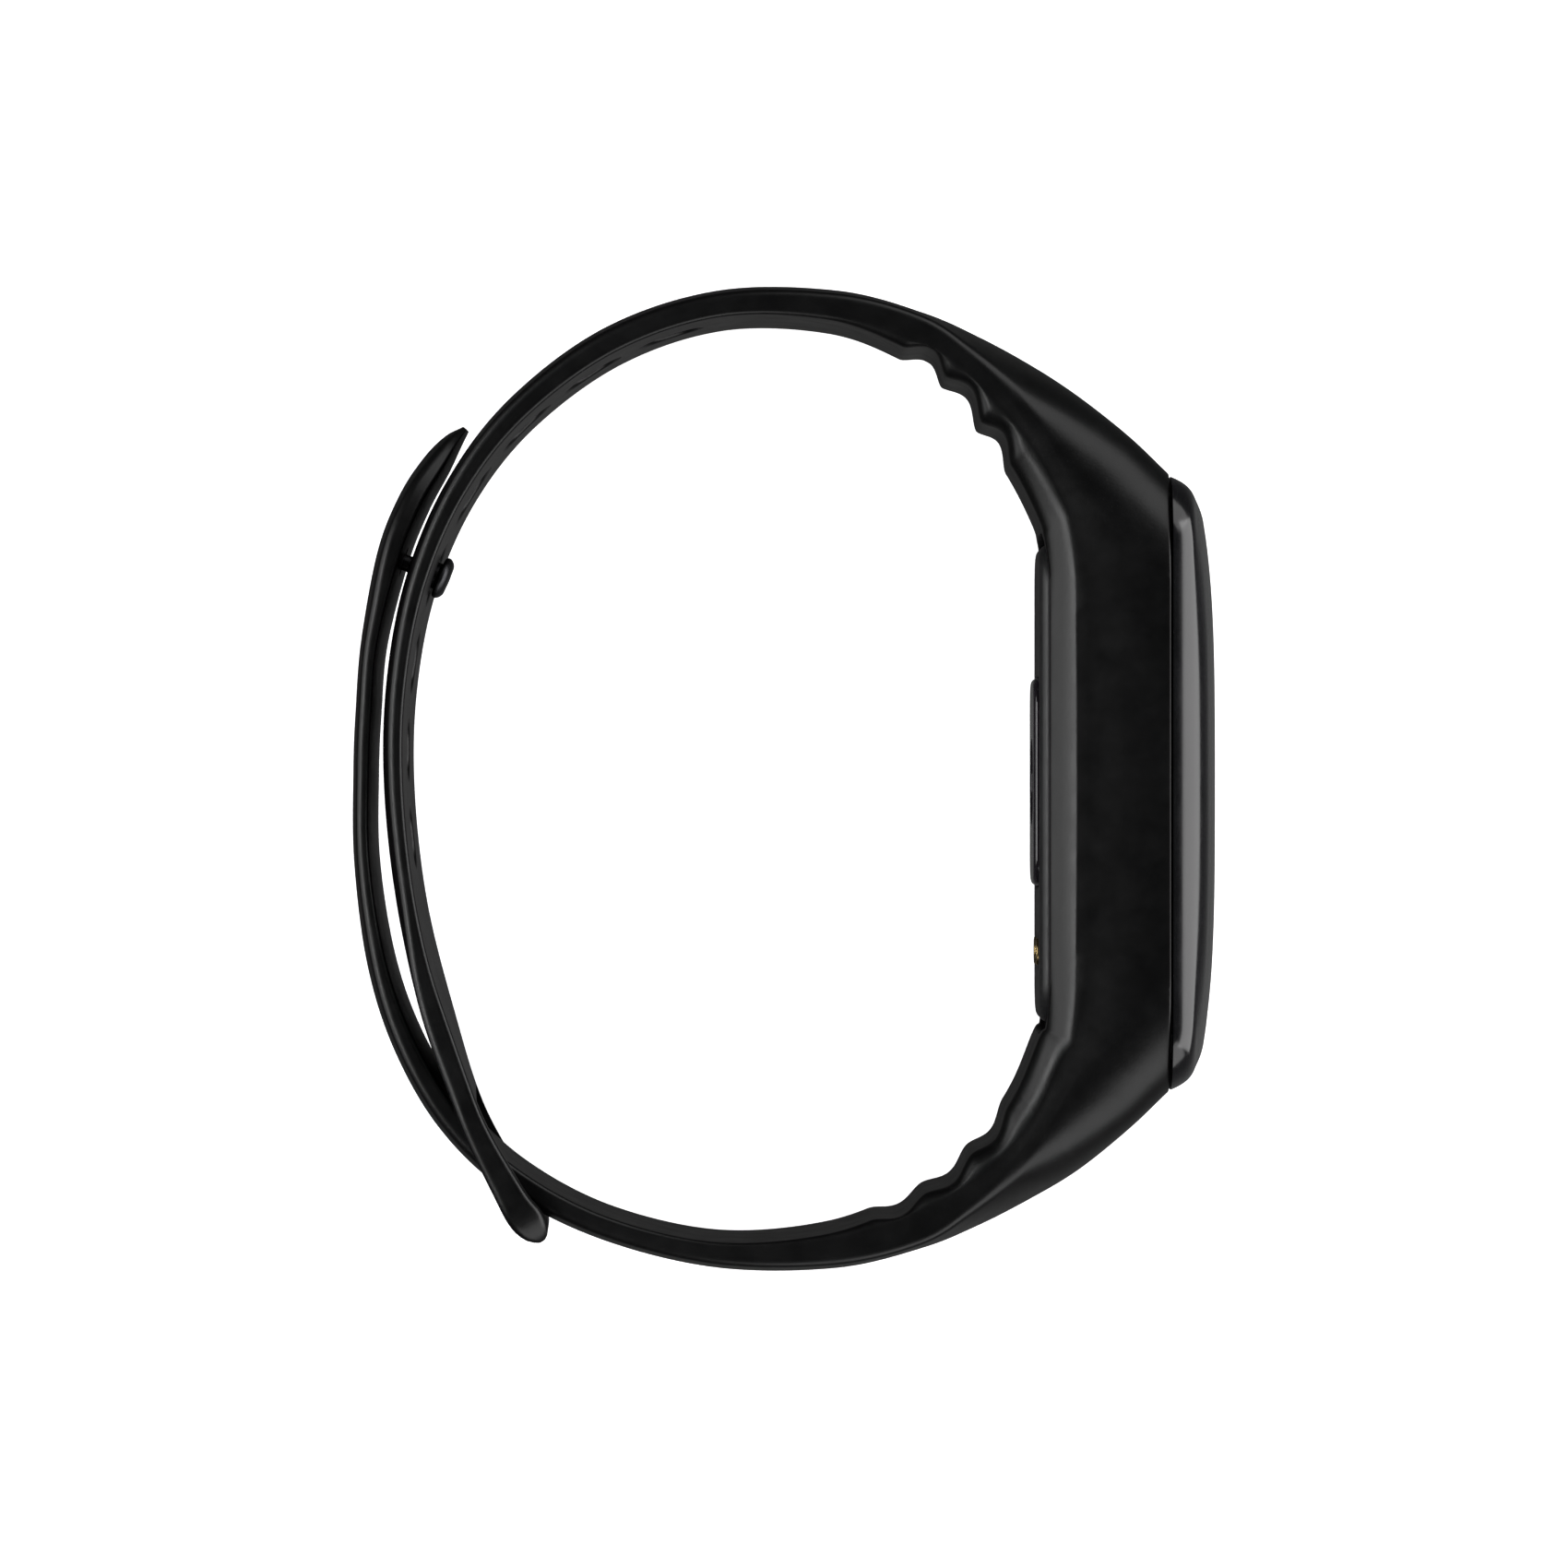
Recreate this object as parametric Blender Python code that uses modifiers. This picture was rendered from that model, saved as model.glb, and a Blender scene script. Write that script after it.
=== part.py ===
"""Fitness tracker band, closed on its own clasp and lying on its side.

The wrist axis is Z, the floor is z = 0 and the tracker capsule faces +X. The upper strap leaves the
cradle at +Y, runs round the inside of the wrist's far side and ends in a loop. The lower strap leaves
the cradle at -Y, threads that loop from the inside and doubles back outside the upper strap as a
tongue, whose stud snaps into one of the upper strap's holes.
Sizes are in millimetres, turned into metres where a mesh is made.
"""
import math

import bmesh
import bpy
from mathutils import Matrix, Vector

MM = 0.001
GAP = 0.3                      # between two solids that touch in the real band
MERGE = 0.00001                # metres

# Width of the band along the wrist axis
BAND_WIDTH = 18.0              # cradle and clasp loop, the widest places
MID = BAND_WIDTH / 2
CROWN = 0.65                   # how far a strap's outer face falls from its middle to its edges
CROWN_SHARE = 0.42             # never more than this share of the strap's thickness

# Straps: outer x, y and inner x, y of the mid line, half width, roundness of the inner edges
UPPER_STRAP = (
    (19.60, 25.44, 15.31, 20.17, 8.30, 1.9),
    (16.56, 27.55, 13.05, 23.50, 8.15, 1.4),
    (13.05, 29.49, 10.70, 26.50, 8.05, 1.0),
    (9.38, 31.06, 7.90, 28.42, 8.0, 0.7),
    (3.59, 32.57, 3.06, 30.21, 8.0, 0.4),
    (-4.38, 32.58, -4.07, 30.43, 8.0, 0.3),
    (-11.96, 30.10, -10.95, 28.18, 8.0, 0.3),
    (-18.34, 25.34, -16.90, 23.87, 8.0, 0.3),
    (-22.55, 19.78, -20.93, 18.81, 8.0, 0.3),
    (-25.26, 13.35, -23.58, 12.83, 8.0, 0.3),
    (-26.54, 6.47, -24.88, 6.30, 8.0, 0.3),
    (-26.70, -0.54, -25.08, -0.48, 8.0, 0.3),
    (-25.83, -8.48, -24.24, -8.20, 8.1, 0.3),
    (-24.00, -16.26, -22.40, -15.75, 8.6, 0.3),
    (-21.91, -22.82, -20.42, -22.07, 9.0, 0.35),
    (-19.30, -27.91, -17.64, -27.05, 9.0, 0.4),
    (-18.33, -29.69, -16.08, -28.62, 8.8, 0.5),
    (-17.40, -30.58, -15.80, -29.77, 8.2, 0.5),
    (-16.55, -30.85, -16.10, -30.64, 7.4, 0.1),
)
LOWER_STRAP = (
    (19.62, -25.98, 15.38, -20.60, 8.30, 1.9),
    (16.49, -27.98, 13.30, -23.70, 8.15, 1.4),
    (12.95, -29.82, 10.70, -26.30, 8.0, 1.0),
    (9.24, -31.28, 7.90, -28.10, 7.9, 0.7),
    (3.40, -32.63, 2.80, -30.00, 7.8, 0.4),
    (-4.59, -32.59, -4.40, -30.55, 7.5, 0.3),
    (-12.33, -30.68, -11.65, -28.90, 7.1, 0.3),
    (-18.57, -27.51, -17.40, -25.85, 6.95, 0.3),
    (-22.92, -23.42, -21.35, -22.10, 6.9, 0.3),
    (-25.95, -18.25, -24.30, -17.45, 6.9, 0.3),
    (-27.79, -12.56, -26.25, -12.15, 6.8, 0.3),
    (-28.69, -5.63, -27.35, -5.50, 6.8, 0.25),
    (-28.75, 0.55, -27.42, 0.55, 6.8, 0.25),
)
TONGUE = (
    (-28.72, 1.50, -27.42, 1.50, 6.8, 0.25),
    (-28.60, 4.60, -27.25, 4.50, 6.8, 0.25),
    (-28.22, 9.35, -26.84, 9.10, 6.8, 0.25),
    (-27.13, 15.24, -25.40, 14.69, 6.7, 0.3),
    (-25.68, 18.97, -23.96, 18.20, 6.0, 0.3),
    (-24.06, 21.48, -22.57, 20.67, 4.8, 0.25),
    (-22.66, 22.90, -21.74, 22.28, 3.4, 0.15),
    (-21.45, 23.55, -21.15, 23.30, 1.8, 0.05),
)
STRAP_STEPS = 12               # samples between two of the rows above
PLAIN_STEP = 4                 # one in this many kept where the inner face has no scallops
# Scallops hollowed across the inner face beside the cradle
SCALLOPS = 3
SCALLOP_DEPTH = 0.6
UPPER_SCALLOP_START = 0.6      # from the strap's first row, along its inner face
UPPER_SCALLOP_PITCH = 3.5
LOWER_SCALLOP_START = 1.2
LOWER_SCALLOP_PITCH = 4.0

# The tongue bends about this line when it is peeled off; its round end turns in the gap left there
PEEL_AXIS = (-28.07, 1.5)
PEEL_NOSE = 0.62

# Clasp: loop slot, holes and stud
SLOT_CORNERS = ((-25.2, -19.0), (-21.2, -17.3), (-14.9, -29.92), (-20.0, -27.33))
LOOP_RAIL = 1.75
HOLE_LENGTH = 3.9              # along the strap
HOLE_WIDTH = 3.3
HOLE_PITCH = 6.0
HOLE_DEPTH = 4.0               # of the cutter, more than any strap's thickness there
HOLES_ABOVE_STUD = 4
HOLES_BELOW_STUD = 3
STUD_AT = (-23.22, 13.58)      # where the stud's axis leaves the upper strap's inner face
STUD_AXIS = Vector((0.921, -0.388, 0.0)).normalized()
STRAP_HALF_DEPTH = 0.85        # of the upper strap there
STUD_HEAD_RADIUS = 1.5
STUD_HEAD_HEIGHT = 1.4
STUD_SHANK_RADIUS = 0.9
STUD_SHANK_LENGTH = 3.75       # from the strap's inner face to the plate's underside
STUD_BASE = -0.12              # the head stands this far clear of that face
PLATE_LENGTH = 6.8
PLATE_WIDTH = 3.0
PLATE_THICKNESS = 0.45
PLATE_STUD_OFFSET = 1.3        # stud to the plate's lower end
PLATE_POCKET_GAP = 0.15
BORE_GAP = 0.1                 # round the stud's shank and round a charging contact

# Cradle: a frame round the capsule
RIM_X = 25.45                  # front rim, under the capsule's cap
INNER_X = 17.6                 # face on the wrist
CRADLE_TOP = 20.25             # ends of the front rim
CRADLE_BOTTOM = -20.75
CRADLE_SOFT = 2.2              # roundness of its inner edges
CRADLE_BEND = (22.88, 2.48, 16.85, 17.1, 8.5, 2.1)  # a strap row half way out from an end of the rim
CRADLE_FRAME = (               # front y, back y and half width of its sections
    (CRADLE_TOP, 15.9, 8.7),
    (17.5, 14.0, MID),
    (0.0, 0.0, MID),
    (-18.0, -14.6, MID),
    (CRADLE_BOTTOM, -16.5, 8.7),
)
SEAT_CENTRE_Y = -0.3
SEAT_LENGTH = 37.0
SEAT_WIDTH = 14.8
SEAT_BACK_X = 18.85
SEAT_CORNER = 3.0
BACK_OPENING_LENGTH = 32.4
BACK_OPENING_WIDTH = 12.8
CLEAR = 3.0                    # how far a cutter reaches past the face it opens

# Capsule cap: level lines of its front, x, top y, bottom y, half width, corner radius
CAP_LEVELS = (
    (25.80, 20.10, -20.70, 8.85, 4.0),
    (26.40, 19.75, -20.34, 8.78, 4.0),
    (26.95, 19.33, -19.90, 8.52, 3.9),
    (27.40, 18.80, -19.40, 8.02, 3.7),
    (27.80, 18.02, -18.75, 7.22, 3.4),
    (28.05, 17.05, -18.10, 6.35, 3.1),
    (28.27, 15.30, -15.20, 5.30, 2.7),
    (28.38, 14.30, -12.40, 4.70, 2.4),
    (28.58, 11.80, -10.40, 3.30, 1.6),
    (28.75, 8.20, -8.70, 1.60, 0.8),
)
CAP_WALL = 1.3
# Its hollow: x, and how much shorter, narrower and tighter in the corners it is than at its mouth
CAP_HOLLOW = (
    (25.80, 0.0, 0.0, 2.8),
    (26.90, 1.2, 1.2, 2.4),
    (27.60, 5.4, 2.8, 2.0),
)

# Capsule case: a stepped tub
CASE_BACK_X = 16.92
CASE_RIM_X = 25.0
CASE_LENGTH = 36.5
CASE_WIDTH = 14.3
CASE_STEP_X = 19.1
BACK_LENGTH = 31.8
BACK_WIDTH = 12.2
CASE_WALL = 0.8
BACK_WALL = 0.68               # thinner behind the sensor
WINDOW_LENGTH = 13.8
WINDOW_WIDTH = 8.4
WINDOW_CORNER = 2.0
WINDOW_Y = -0.2
WINDOW_LEVELS = ((16.56, 1.0), (16.8, 0.0), (17.55, 0.0))  # x, and how much smaller than full size
CONTACT_Y = -11.5
CONTACT_SPACING = 4.0
CONTACT_RADIUS = 0.9

# Electronics, stacked from the back to the front
SENSOR_BOARD_X = 18.35
SENSOR_BOARD_SIZE = (0.5, 13.0, 8.0)
LED_OFFSET = 3.9               # from the photodiode's middle
LED_SIZE = (0.4, 1.8, 1.8)
PHOTODIODE_SIZE = (0.4, 2.6, 2.6)
BAFFLE_X = 17.68
BAFFLE_SIZE = (0.55, 12.4, 7.4)
BATTERY_X = 19.6
BATTERY_SIZE = (3.2, 20.0, 11.0)
BATTERY_Y = 6.4
MOTOR_Y = -10.6
MOTOR_X = 19.7
MOTOR_RADIUS = 4.0
MOTOR_HEIGHT = 2.7
MAIN_BOARD_X = 23.3
MAIN_BOARD_SIZE = (0.8, 33.6, 11.8)
CHIPS = (                      # thickness, length, width, y and z
    ("processor", 1.0, 6.0, 6.0, 6.0, MID),
    ("memory_chip", 0.8, 4.0, 3.0, 12.6, MID + 2.6),
    ("motion_sensor", 0.9, 2.5, 2.5, -2.0, MID - 2.8),
    ("charge_regulator", 0.7, 2.0, 2.0, -2.0, MID + 2.8),
    ("chip_antenna", 0.8, 1.6, 7.0, -15.6, MID),
)
CHIP_GAP = 0.1                 # solder between the board and a chip
DISPLAY_X = 26.1
DISPLAY_SIZE = (1.2, 24.0, 12.0)
DISPLAY_Y = 2.4
TOUCH_X = 25.9
TOUCH_SIZE = (0.3, 5.0, 5.0)
TOUCH_Y = -14.0
FLEX_AT = (24.3, -7.6)         # x and y of the ribbon's first corner
FLEX_DEPTH = 2.2
FLEX_REACH = 1.6
FLEX_THICKNESS = 0.2
FLEX_WIDTH = 6.0
SEAL_X = 25.15
SEAL_THICKNESS = 0.5
SEAL_WALL = 0.6

# Local x, y and z to world y, z and x: outlines drawn flat stand across the capsule
ACROSS = Matrix(((0, 0, 1, 0), (1, 0, 0, 0), (0, 1, 0, 0), (0, 0, 0, 1)))

model = None
cutters = None


def start_scene():
    """Empty the scene and make the two collections."""
    global model, cutters
    for old in list(bpy.data.objects):
        bpy.data.objects.remove(old, do_unlink=True)
    model = bpy.data.collections.new("fitness_tracker_band")
    cutters = bpy.data.collections.new("cutters")
    bpy.context.scene.collection.children.link(model)
    bpy.context.scene.collection.children.link(cutters)


def finish_of(name, colour, roughness, metallic=0.0):
    """A plain Principled material."""
    material = bpy.data.materials.new(name)
    material.use_nodes = True
    shader = material.node_tree.nodes["Principled BSDF"]
    shader.inputs["Base Color"].default_value = (*colour, 1.0)
    shader.inputs["Roughness"].default_value = roughness
    shader.inputs["Metallic"].default_value = metallic
    return material


def new_object(name, mesh, material=None):
    """Link a mesh as a named sub-part, smooth where its faces are nearly level with each other."""
    piece = bpy.data.objects.new(name, mesh)
    model.objects.link(piece)
    if material:
        mesh.materials.append(material)
    mesh.shade_smooth()
    mesh.set_sharp_from_angle(angle=math.radians(35))
    return piece


def metres(point):
    return Vector(point) * MM


def loft(name, rings, material=None):
    """A closed solid through rings that all have the same number of points."""
    frame = bmesh.new()
    rows = [[frame.verts.new(metres(point)) for point in ring] for ring in rings]
    count = len(rows[0])
    for near, far in zip(rows, rows[1:]):
        for i in range(count):
            j = (i + 1) % count
            frame.faces.new((near[i], near[j], far[j], far[i]))
    frame.faces.new(rows[0])
    frame.faces.new(rows[-1])
    bmesh.ops.recalc_face_normals(frame, faces=frame.faces)
    mesh = bpy.data.meshes.new(name)
    frame.to_mesh(mesh)
    frame.free()
    return new_object(name, mesh, material)


def outline_solid(name, outlines, thickness, matrix, material=None):
    """A flat outline, with any further outlines as holes, given a thickness."""
    curve = bpy.data.curves.new(name, "CURVE")
    curve.dimensions = "2D"
    curve.fill_mode = "BOTH"
    curve.extrude = thickness / 2 * MM
    for outline in outlines:
        line = curve.splines.new("POLY")
        line.points.add(len(outline) - 1)
        for point, (a, b) in zip(line.points, outline):
            point.co = (a * MM, b * MM, 0.0, 1.0)
        line.use_cyclic_u = True
    flat = bpy.data.objects.new(name + "_outline", curve)
    model.objects.link(flat)
    mesh = bpy.data.meshes.new_from_object(flat.evaluated_get(bpy.context.evaluated_depsgraph_get()))
    bpy.data.objects.remove(flat, do_unlink=True)
    weld = bmesh.new()
    weld.from_mesh(mesh)
    bmesh.ops.remove_doubles(weld, verts=weld.verts, dist=MERGE)
    bmesh.ops.recalc_face_normals(weld, faces=weld.faces)
    weld.to_mesh(mesh)
    weld.free()
    piece = new_object(name, mesh, material)
    piece.matrix_world = matrix
    return piece


def plate(name, x, size, centre, corner, material=None, holes=()):
    """A plate across the capsule: it starts at x and is size[0] thick, size[1] by size[2]."""
    outlines = [rounded_rectangle(centre, size[1], size[2], corner)]
    outlines.extend(holes)
    place = Matrix.Translation(metres((x + size[0] / 2, 0, 0))) @ ACROSS
    return outline_solid(name, outlines, size[0], place, material)


def rounded_rectangle(centre, length, width, corner, steps=4):
    """Points of a rounded rectangle, anticlockwise."""
    points = []
    for turn, (a, b) in enumerate(((1, 1), (-1, 1), (-1, -1), (1, -1))):
        middle = (centre[0] + a * (length / 2 - corner), centre[1] + b * (width / 2 - corner))
        for k in range(steps + 1):
            angle = math.radians(90 * turn + 90 * k / steps)
            points.append((middle[0] + corner * math.cos(angle), middle[1] + corner * math.sin(angle)))
    return points


def circle(centre, radius, steps=24):
    angles = [2 * math.pi * k / steps for k in range(steps)]
    return [(centre[0] + radius * math.cos(a), centre[1] + radius * math.sin(a)) for a in angles]


def block(name, x, size, centre, material, bevel):
    """A box on the capsule's stack, with its edges broken."""
    frame = bmesh.new()
    bmesh.ops.create_cube(frame, size=1.0)
    bmesh.ops.scale(frame, vec=metres(size), verts=frame.verts)
    bmesh.ops.bevel(frame, geom=frame.edges[:], offset=bevel * MM, segments=1, affect="EDGES")
    mesh = bpy.data.meshes.new(name)
    frame.to_mesh(mesh)
    frame.free()
    piece = new_object(name, mesh, material)
    piece.location = metres((x + size[0] / 2, centre[0], centre[1]))
    return piece


def turned(name, profile, matrix, material=None, steps=24):
    """A turned piece: a profile of radius and height, spun about its own Z."""
    edges = [(i, i + 1) for i in range(len(profile) - 1)]
    mesh = bpy.data.meshes.new(name)
    mesh.from_pydata([metres((r, 0, z)) for r, z in profile], edges, [])
    piece = new_object(name, mesh, material)
    spin = piece.modifiers.new("spin", "SCREW")
    spin.axis = "Z"
    spin.angle = 2 * math.pi
    spin.steps = steps
    spin.render_steps = steps
    spin.use_merge_vertices = True
    spin.merge_threshold = MERGE
    spin.use_smooth_shade = True
    piece.matrix_world = matrix
    return piece


def cut(piece, cutter):
    """Take a cutter out of a piece."""
    model.objects.unlink(cutter)
    cutters.objects.link(cutter)
    cutter.hide_render = True
    cutter.display_type = "WIRE"
    boolean = piece.modifiers.new("cut_" + cutter.name, "BOOLEAN")
    boolean.operation = "DIFFERENCE"
    boolean.object = cutter


def hang_on(pieces, name, point):
    """Parent pieces to an empty on their joint."""
    empty = bpy.data.objects.new(name, None)
    model.objects.link(empty)
    empty.location = metres(point)
    for piece in pieces:
        piece.parent = empty
        piece.matrix_parent_inverse = Matrix.Translation(-metres(point))


def along_curve(rows, steps):
    """Rows of numbers joined by a Catmull-Rom curve through every one of them."""
    def beyond(end, neighbour):
        return tuple(2 * e - n for e, n in zip(end, neighbour))

    padded = [beyond(rows[0], rows[1]), *rows, beyond(rows[-1], rows[-2])]
    result = []
    for a, b, c, d in zip(padded, padded[1:], padded[2:], padded[3:]):
        for k in range(steps):
            t = k / steps
            result.append(tuple(
                0.5 * (2 * q + (r - p) * t + (2 * p - 5 * q + 4 * r - s) * t ** 2
                       + (3 * q - p - 3 * r + s) * t ** 3)
                for p, q, r, s in zip(a, b, c, d)))
    result.append(tuple(rows[-1]))
    return result


def strap_ring(row, hollow=0.0):
    """The strap's section: rounded inner edges, flat sides and a crowned outer face."""
    outer = Vector((row[0], row[1], MID))
    inner = Vector((row[2], row[3], MID))
    half = min(row[4], MID)
    soft = row[5]
    rise = outer - inner
    thick = rise.length
    up = rise.normalized()
    crown = min(CROWN, CROWN_SHARE * thick)
    side = [
        (half - 0.7 * soft, hollow),
        (half - 0.2 * soft, 0.3 * soft),
        (half, soft),
        (half, thick - crown),
        (half - min(0.35, 0.3 * half), thick - 0.72 * crown),
        (0.55 * half, thick - 0.22 * crown),
    ]
    profile = side + [(0.0, thick)] + [(-z, n) for z, n in reversed(side)]
    return [inner + up * n + Vector((0, 0, z)) for z, n in profile]


def strap_rings(rows, scallop_start=0.0, scallop_pitch=0.0):
    """Rings along a strap, with scallops hollowed into its inner face where they are asked for."""
    samples = along_curve(rows, STRAP_STEPS)
    rings = []
    travelled = 0.0
    previous = samples[0]
    for index, row in enumerate(samples):
        travelled += math.hypot(row[2] - previous[2], row[3] - previous[3])
        previous = row
        phase = -1.0
        if scallop_pitch:
            phase = (travelled - scallop_start) / scallop_pitch
        scalloped = 0 < phase < SCALLOPS
        keep = 1 if scalloped else PLAIN_STEP
        if index % keep == 0 or index == len(samples) - 1:
            hollow = SCALLOP_DEPTH * abs(math.sin(math.pi * phase)) if scalloped else 0.0
            rings.append(strap_ring(row, hollow))
    return rings


def root_rings(strap, sign, end):
    """The cradle's sections from the gap at a strap's root to half way in to the rim."""
    first = strap[0]
    back = Vector((0.77, -0.64 * sign)) * GAP
    joint = (first[0] + back.x, first[1] + back.y, first[2] + back.x, first[3] + back.y, *first[4:])
    x, rise, inner_x, inner_y, half, soft = CRADLE_BEND
    bend = (x, end + rise * sign, inner_x, inner_y * sign, half, soft)
    return [strap_ring(joint), strap_ring(bend)]


def frame_ring(y_front, y_back, half):
    """A section through the cradle's straight part, with a flat front rim."""
    outer = Vector((RIM_X, y_front, MID))
    inner = Vector((INNER_X, y_back, MID))
    up = (outer - inner).normalized()
    thick = (outer - inner).length
    soft = CRADLE_SOFT
    side = [(half - 0.6 * soft, 0.0), (half - 0.18 * soft, 0.25 * soft), (half, soft),
            (half, thick - 0.4), (half - 0.05, thick - 0.2), (0.55 * half, thick)]
    profile = side + [(0.0, thick)] + [(-z, n) for z, n in reversed(side)]
    ring = [inner + up * n + Vector((0, 0, z)) for z, n in profile]
    rim = len(side) - 1
    for point in ring[rim:rim + 3]:
        point.x = RIM_X
    return ring


def make_cradle(rubber):
    """The frame that grips the capsule, with the two strap roots."""
    rings = root_rings(UPPER_STRAP, 1, CRADLE_TOP)
    rings += [frame_ring(*row) for row in CRADLE_FRAME]
    rings += root_rings(LOWER_STRAP, -1, CRADLE_BOTTOM)[::-1]
    cradle = loft("strap_cradle", rings, rubber)
    centre = (SEAT_CENTRE_Y, MID)
    seat = (RIM_X - SEAT_BACK_X + CLEAR, SEAT_LENGTH, SEAT_WIDTH)
    cut(cradle, plate("seat_cutter", SEAT_BACK_X, seat, centre, SEAT_CORNER))
    opening = (SEAT_BACK_X - INNER_X + 2 * CLEAR, BACK_OPENING_LENGTH, BACK_OPENING_WIDTH)
    cut(cradle, plate("back_cutter", INNER_X - CLEAR, opening, centre, SEAT_CORNER))
    return cradle


def hole_frame(samples, target):
    """Place and direction of the strap's mid line at a given length from the stud's hole."""
    mids = [Vector(((r[0] + r[2]) / 2, (r[1] + r[3]) / 2)) for r in samples]
    stud = Vector(STUD_AT) - STUD_AXIS.xy * STRAP_HALF_DEPTH
    index = min(range(len(mids)), key=lambda i: (mids[i] - stud).length)
    left = abs(target)
    step = 1 if target > 0 else -1
    while left > 0:
        left -= (mids[index + step] - mids[index]).length
        index += step
    ahead = (mids[index + 1] - mids[index - 1]).normalized()
    return mids[index], ahead


def cut_holes(strap):
    """Oblong adjustment holes, counted from the one the stud is in."""
    samples = along_curve(UPPER_STRAP, STRAP_STEPS)
    pill = rounded_rectangle((0, 0), HOLE_LENGTH, HOLE_WIDTH, HOLE_WIDTH / 2 - 0.01)
    across = Vector((0, 0, 1))
    for number in range(-HOLES_ABOVE_STUD, HOLES_BELOW_STUD + 1):
        middle, ahead = hole_frame(samples, number * HOLE_PITCH)
        out = Vector((ahead.x, ahead.y, 0)).cross(across)
        turn = Matrix((
            (ahead.x, across.x, out.x, middle.x * MM),
            (ahead.y, across.y, out.y, middle.y * MM),
            (0, across.z, out.z, MID * MM),
            (0, 0, 0, 1)))
        name = "hole_cutter_%d" % (number + HOLES_ABOVE_STUD)
        cut(strap, outline_solid(name, [pill], HOLE_DEPTH, turn))


def make_upper_strap(rubber):
    """The strap with the adjustment holes and the clasp loop."""
    rings = strap_rings(UPPER_STRAP, UPPER_SCALLOP_START, UPPER_SCALLOP_PITCH)
    strap = loft("upper_strap", rings, rubber)
    lift = Matrix.Translation(metres((0, 0, MID)))
    slot_width = BAND_WIDTH - 2 * LOOP_RAIL
    cut(strap, outline_solid("slot_cutter", [SLOT_CORNERS], slot_width, lift))
    cut_holes(strap)


def make_lower_strap(rubber):
    """The strap that threads the loop, up to the line where the tongue peels."""
    rings = strap_rings(LOWER_STRAP, LOWER_SCALLOP_START, LOWER_SCALLOP_PITCH)
    loft("lower_strap", rings, rubber)


def make_tongue(rubber):
    """The free end outside the upper strap: a round nose on the peel axis, a pocket and a hole."""
    first = TONGUE[0]
    nose = []
    for turn in (9.3, 22.5, 45.0, 67.5):
        reach = PEEL_NOSE * math.sin(math.radians(turn))
        back = PEEL_NOSE * math.cos(math.radians(turn))
        nose.append((PEEL_AXIS[0] - reach, PEEL_AXIS[1] - back, PEEL_AXIS[0] + reach,
                     PEEL_AXIS[1] - back, first[4], 0.2 * reach))
    rings = [strap_ring(row) for row in nose] + strap_rings(TONGUE)
    tongue = loft("strap_tongue", rings, rubber)
    cut(tongue, clasp_plate_solid("plate_pocket_cutter", 1.5, PLATE_POCKET_GAP, -PLATE_POCKET_GAP))
    cut(tongue, turned("stud_hole_cutter", bore_profile(STUD_SHANK_RADIUS, 1.2, 5.2), stud_place()))
    return tongue


def bore_profile(radius, low, high):
    """A plain bore a little wider than the pin in it."""
    wide = radius + BORE_GAP
    return [(0, high), (wide, high), (wide, low), (0, low)]


def stud_place():
    """The stud's frame: origin on the upper strap's inner face, local Z outward through the straps."""
    out = -STUD_AXIS
    across = Vector((0, 0, 1))
    along = across.cross(out)
    return Matrix((
        (along.x, across.x, out.x, STUD_AT[0] * MM),
        (along.y, across.y, out.y, STUD_AT[1] * MM),
        (along.z, across.z, out.z, MID * MM),
        (0, 0, 0, 1)))


def clasp_plate_solid(name, thickness, grow, sink, material=None):
    """The pill on the tongue's outer face, or the same shape enlarged as its pocket."""
    place = stud_place()
    up_strap = -1 if place[1][0] > 0 else 1
    reach = PLATE_LENGTH / 2 - PLATE_STUD_OFFSET
    centre = (-up_strap * reach, 0)
    size = (PLATE_LENGTH + 2 * grow, PLATE_WIDTH + 2 * grow)
    pill = rounded_rectangle(centre, size[0], size[1], size[1] / 2 - 0.01)
    height = STUD_SHANK_LENGTH + sink + thickness / 2
    lift = Matrix.Translation(metres((0, 0, height)))
    return outline_solid(name, [pill], thickness, place @ lift, material)


def make_clasp(metal):
    """The stud and its outer plate."""
    top = STUD_SHANK_LENGTH - BORE_GAP
    base = STUD_BASE
    low = base - STUD_HEAD_HEIGHT
    radius = STUD_HEAD_RADIUS
    profile = [
        (0, top), (STUD_SHANK_RADIUS, top), (STUD_SHANK_RADIUS, base), (radius - 0.15, base),
        (radius, base - 0.2), (radius, base - 0.6), (0.85 * radius, low + 0.35),
        (0.55 * radius, low + 0.08), (0, low)]
    stud = turned("clasp_stud", profile, stud_place(), metal)
    return [clasp_plate_solid("clasp_plate", PLATE_THICKNESS, 0.0, 0.0, metal), stud]


def capsule_ring(x, length, width, corner):
    outline = rounded_rectangle((SEAT_CENTRE_Y, MID), length, width, corner)
    return [(x, y, z) for y, z in outline]


def make_cap(gloss):
    """The glossy front cap, a crowned shell with its lower end sloped as a touch area."""
    rings = []
    for x, top, bottom, half, corner in reversed(CAP_LEVELS):
        outline = rounded_rectangle(((top + bottom) / 2, MID), top - bottom, 2 * half, corner)
        rings.append([(x, y, z) for y, z in outline])
    length = CAP_LEVELS[0][1] - CAP_LEVELS[0][2] - 2 * CAP_WALL
    width = 2 * (CAP_LEVELS[0][3] - CAP_WALL)
    for x, shorter, narrower, corner in CAP_HOLLOW:
        rings.append(capsule_ring(x, length - shorter, width - narrower, corner))
    return loft("front_cap", rings, gloss)


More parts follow.
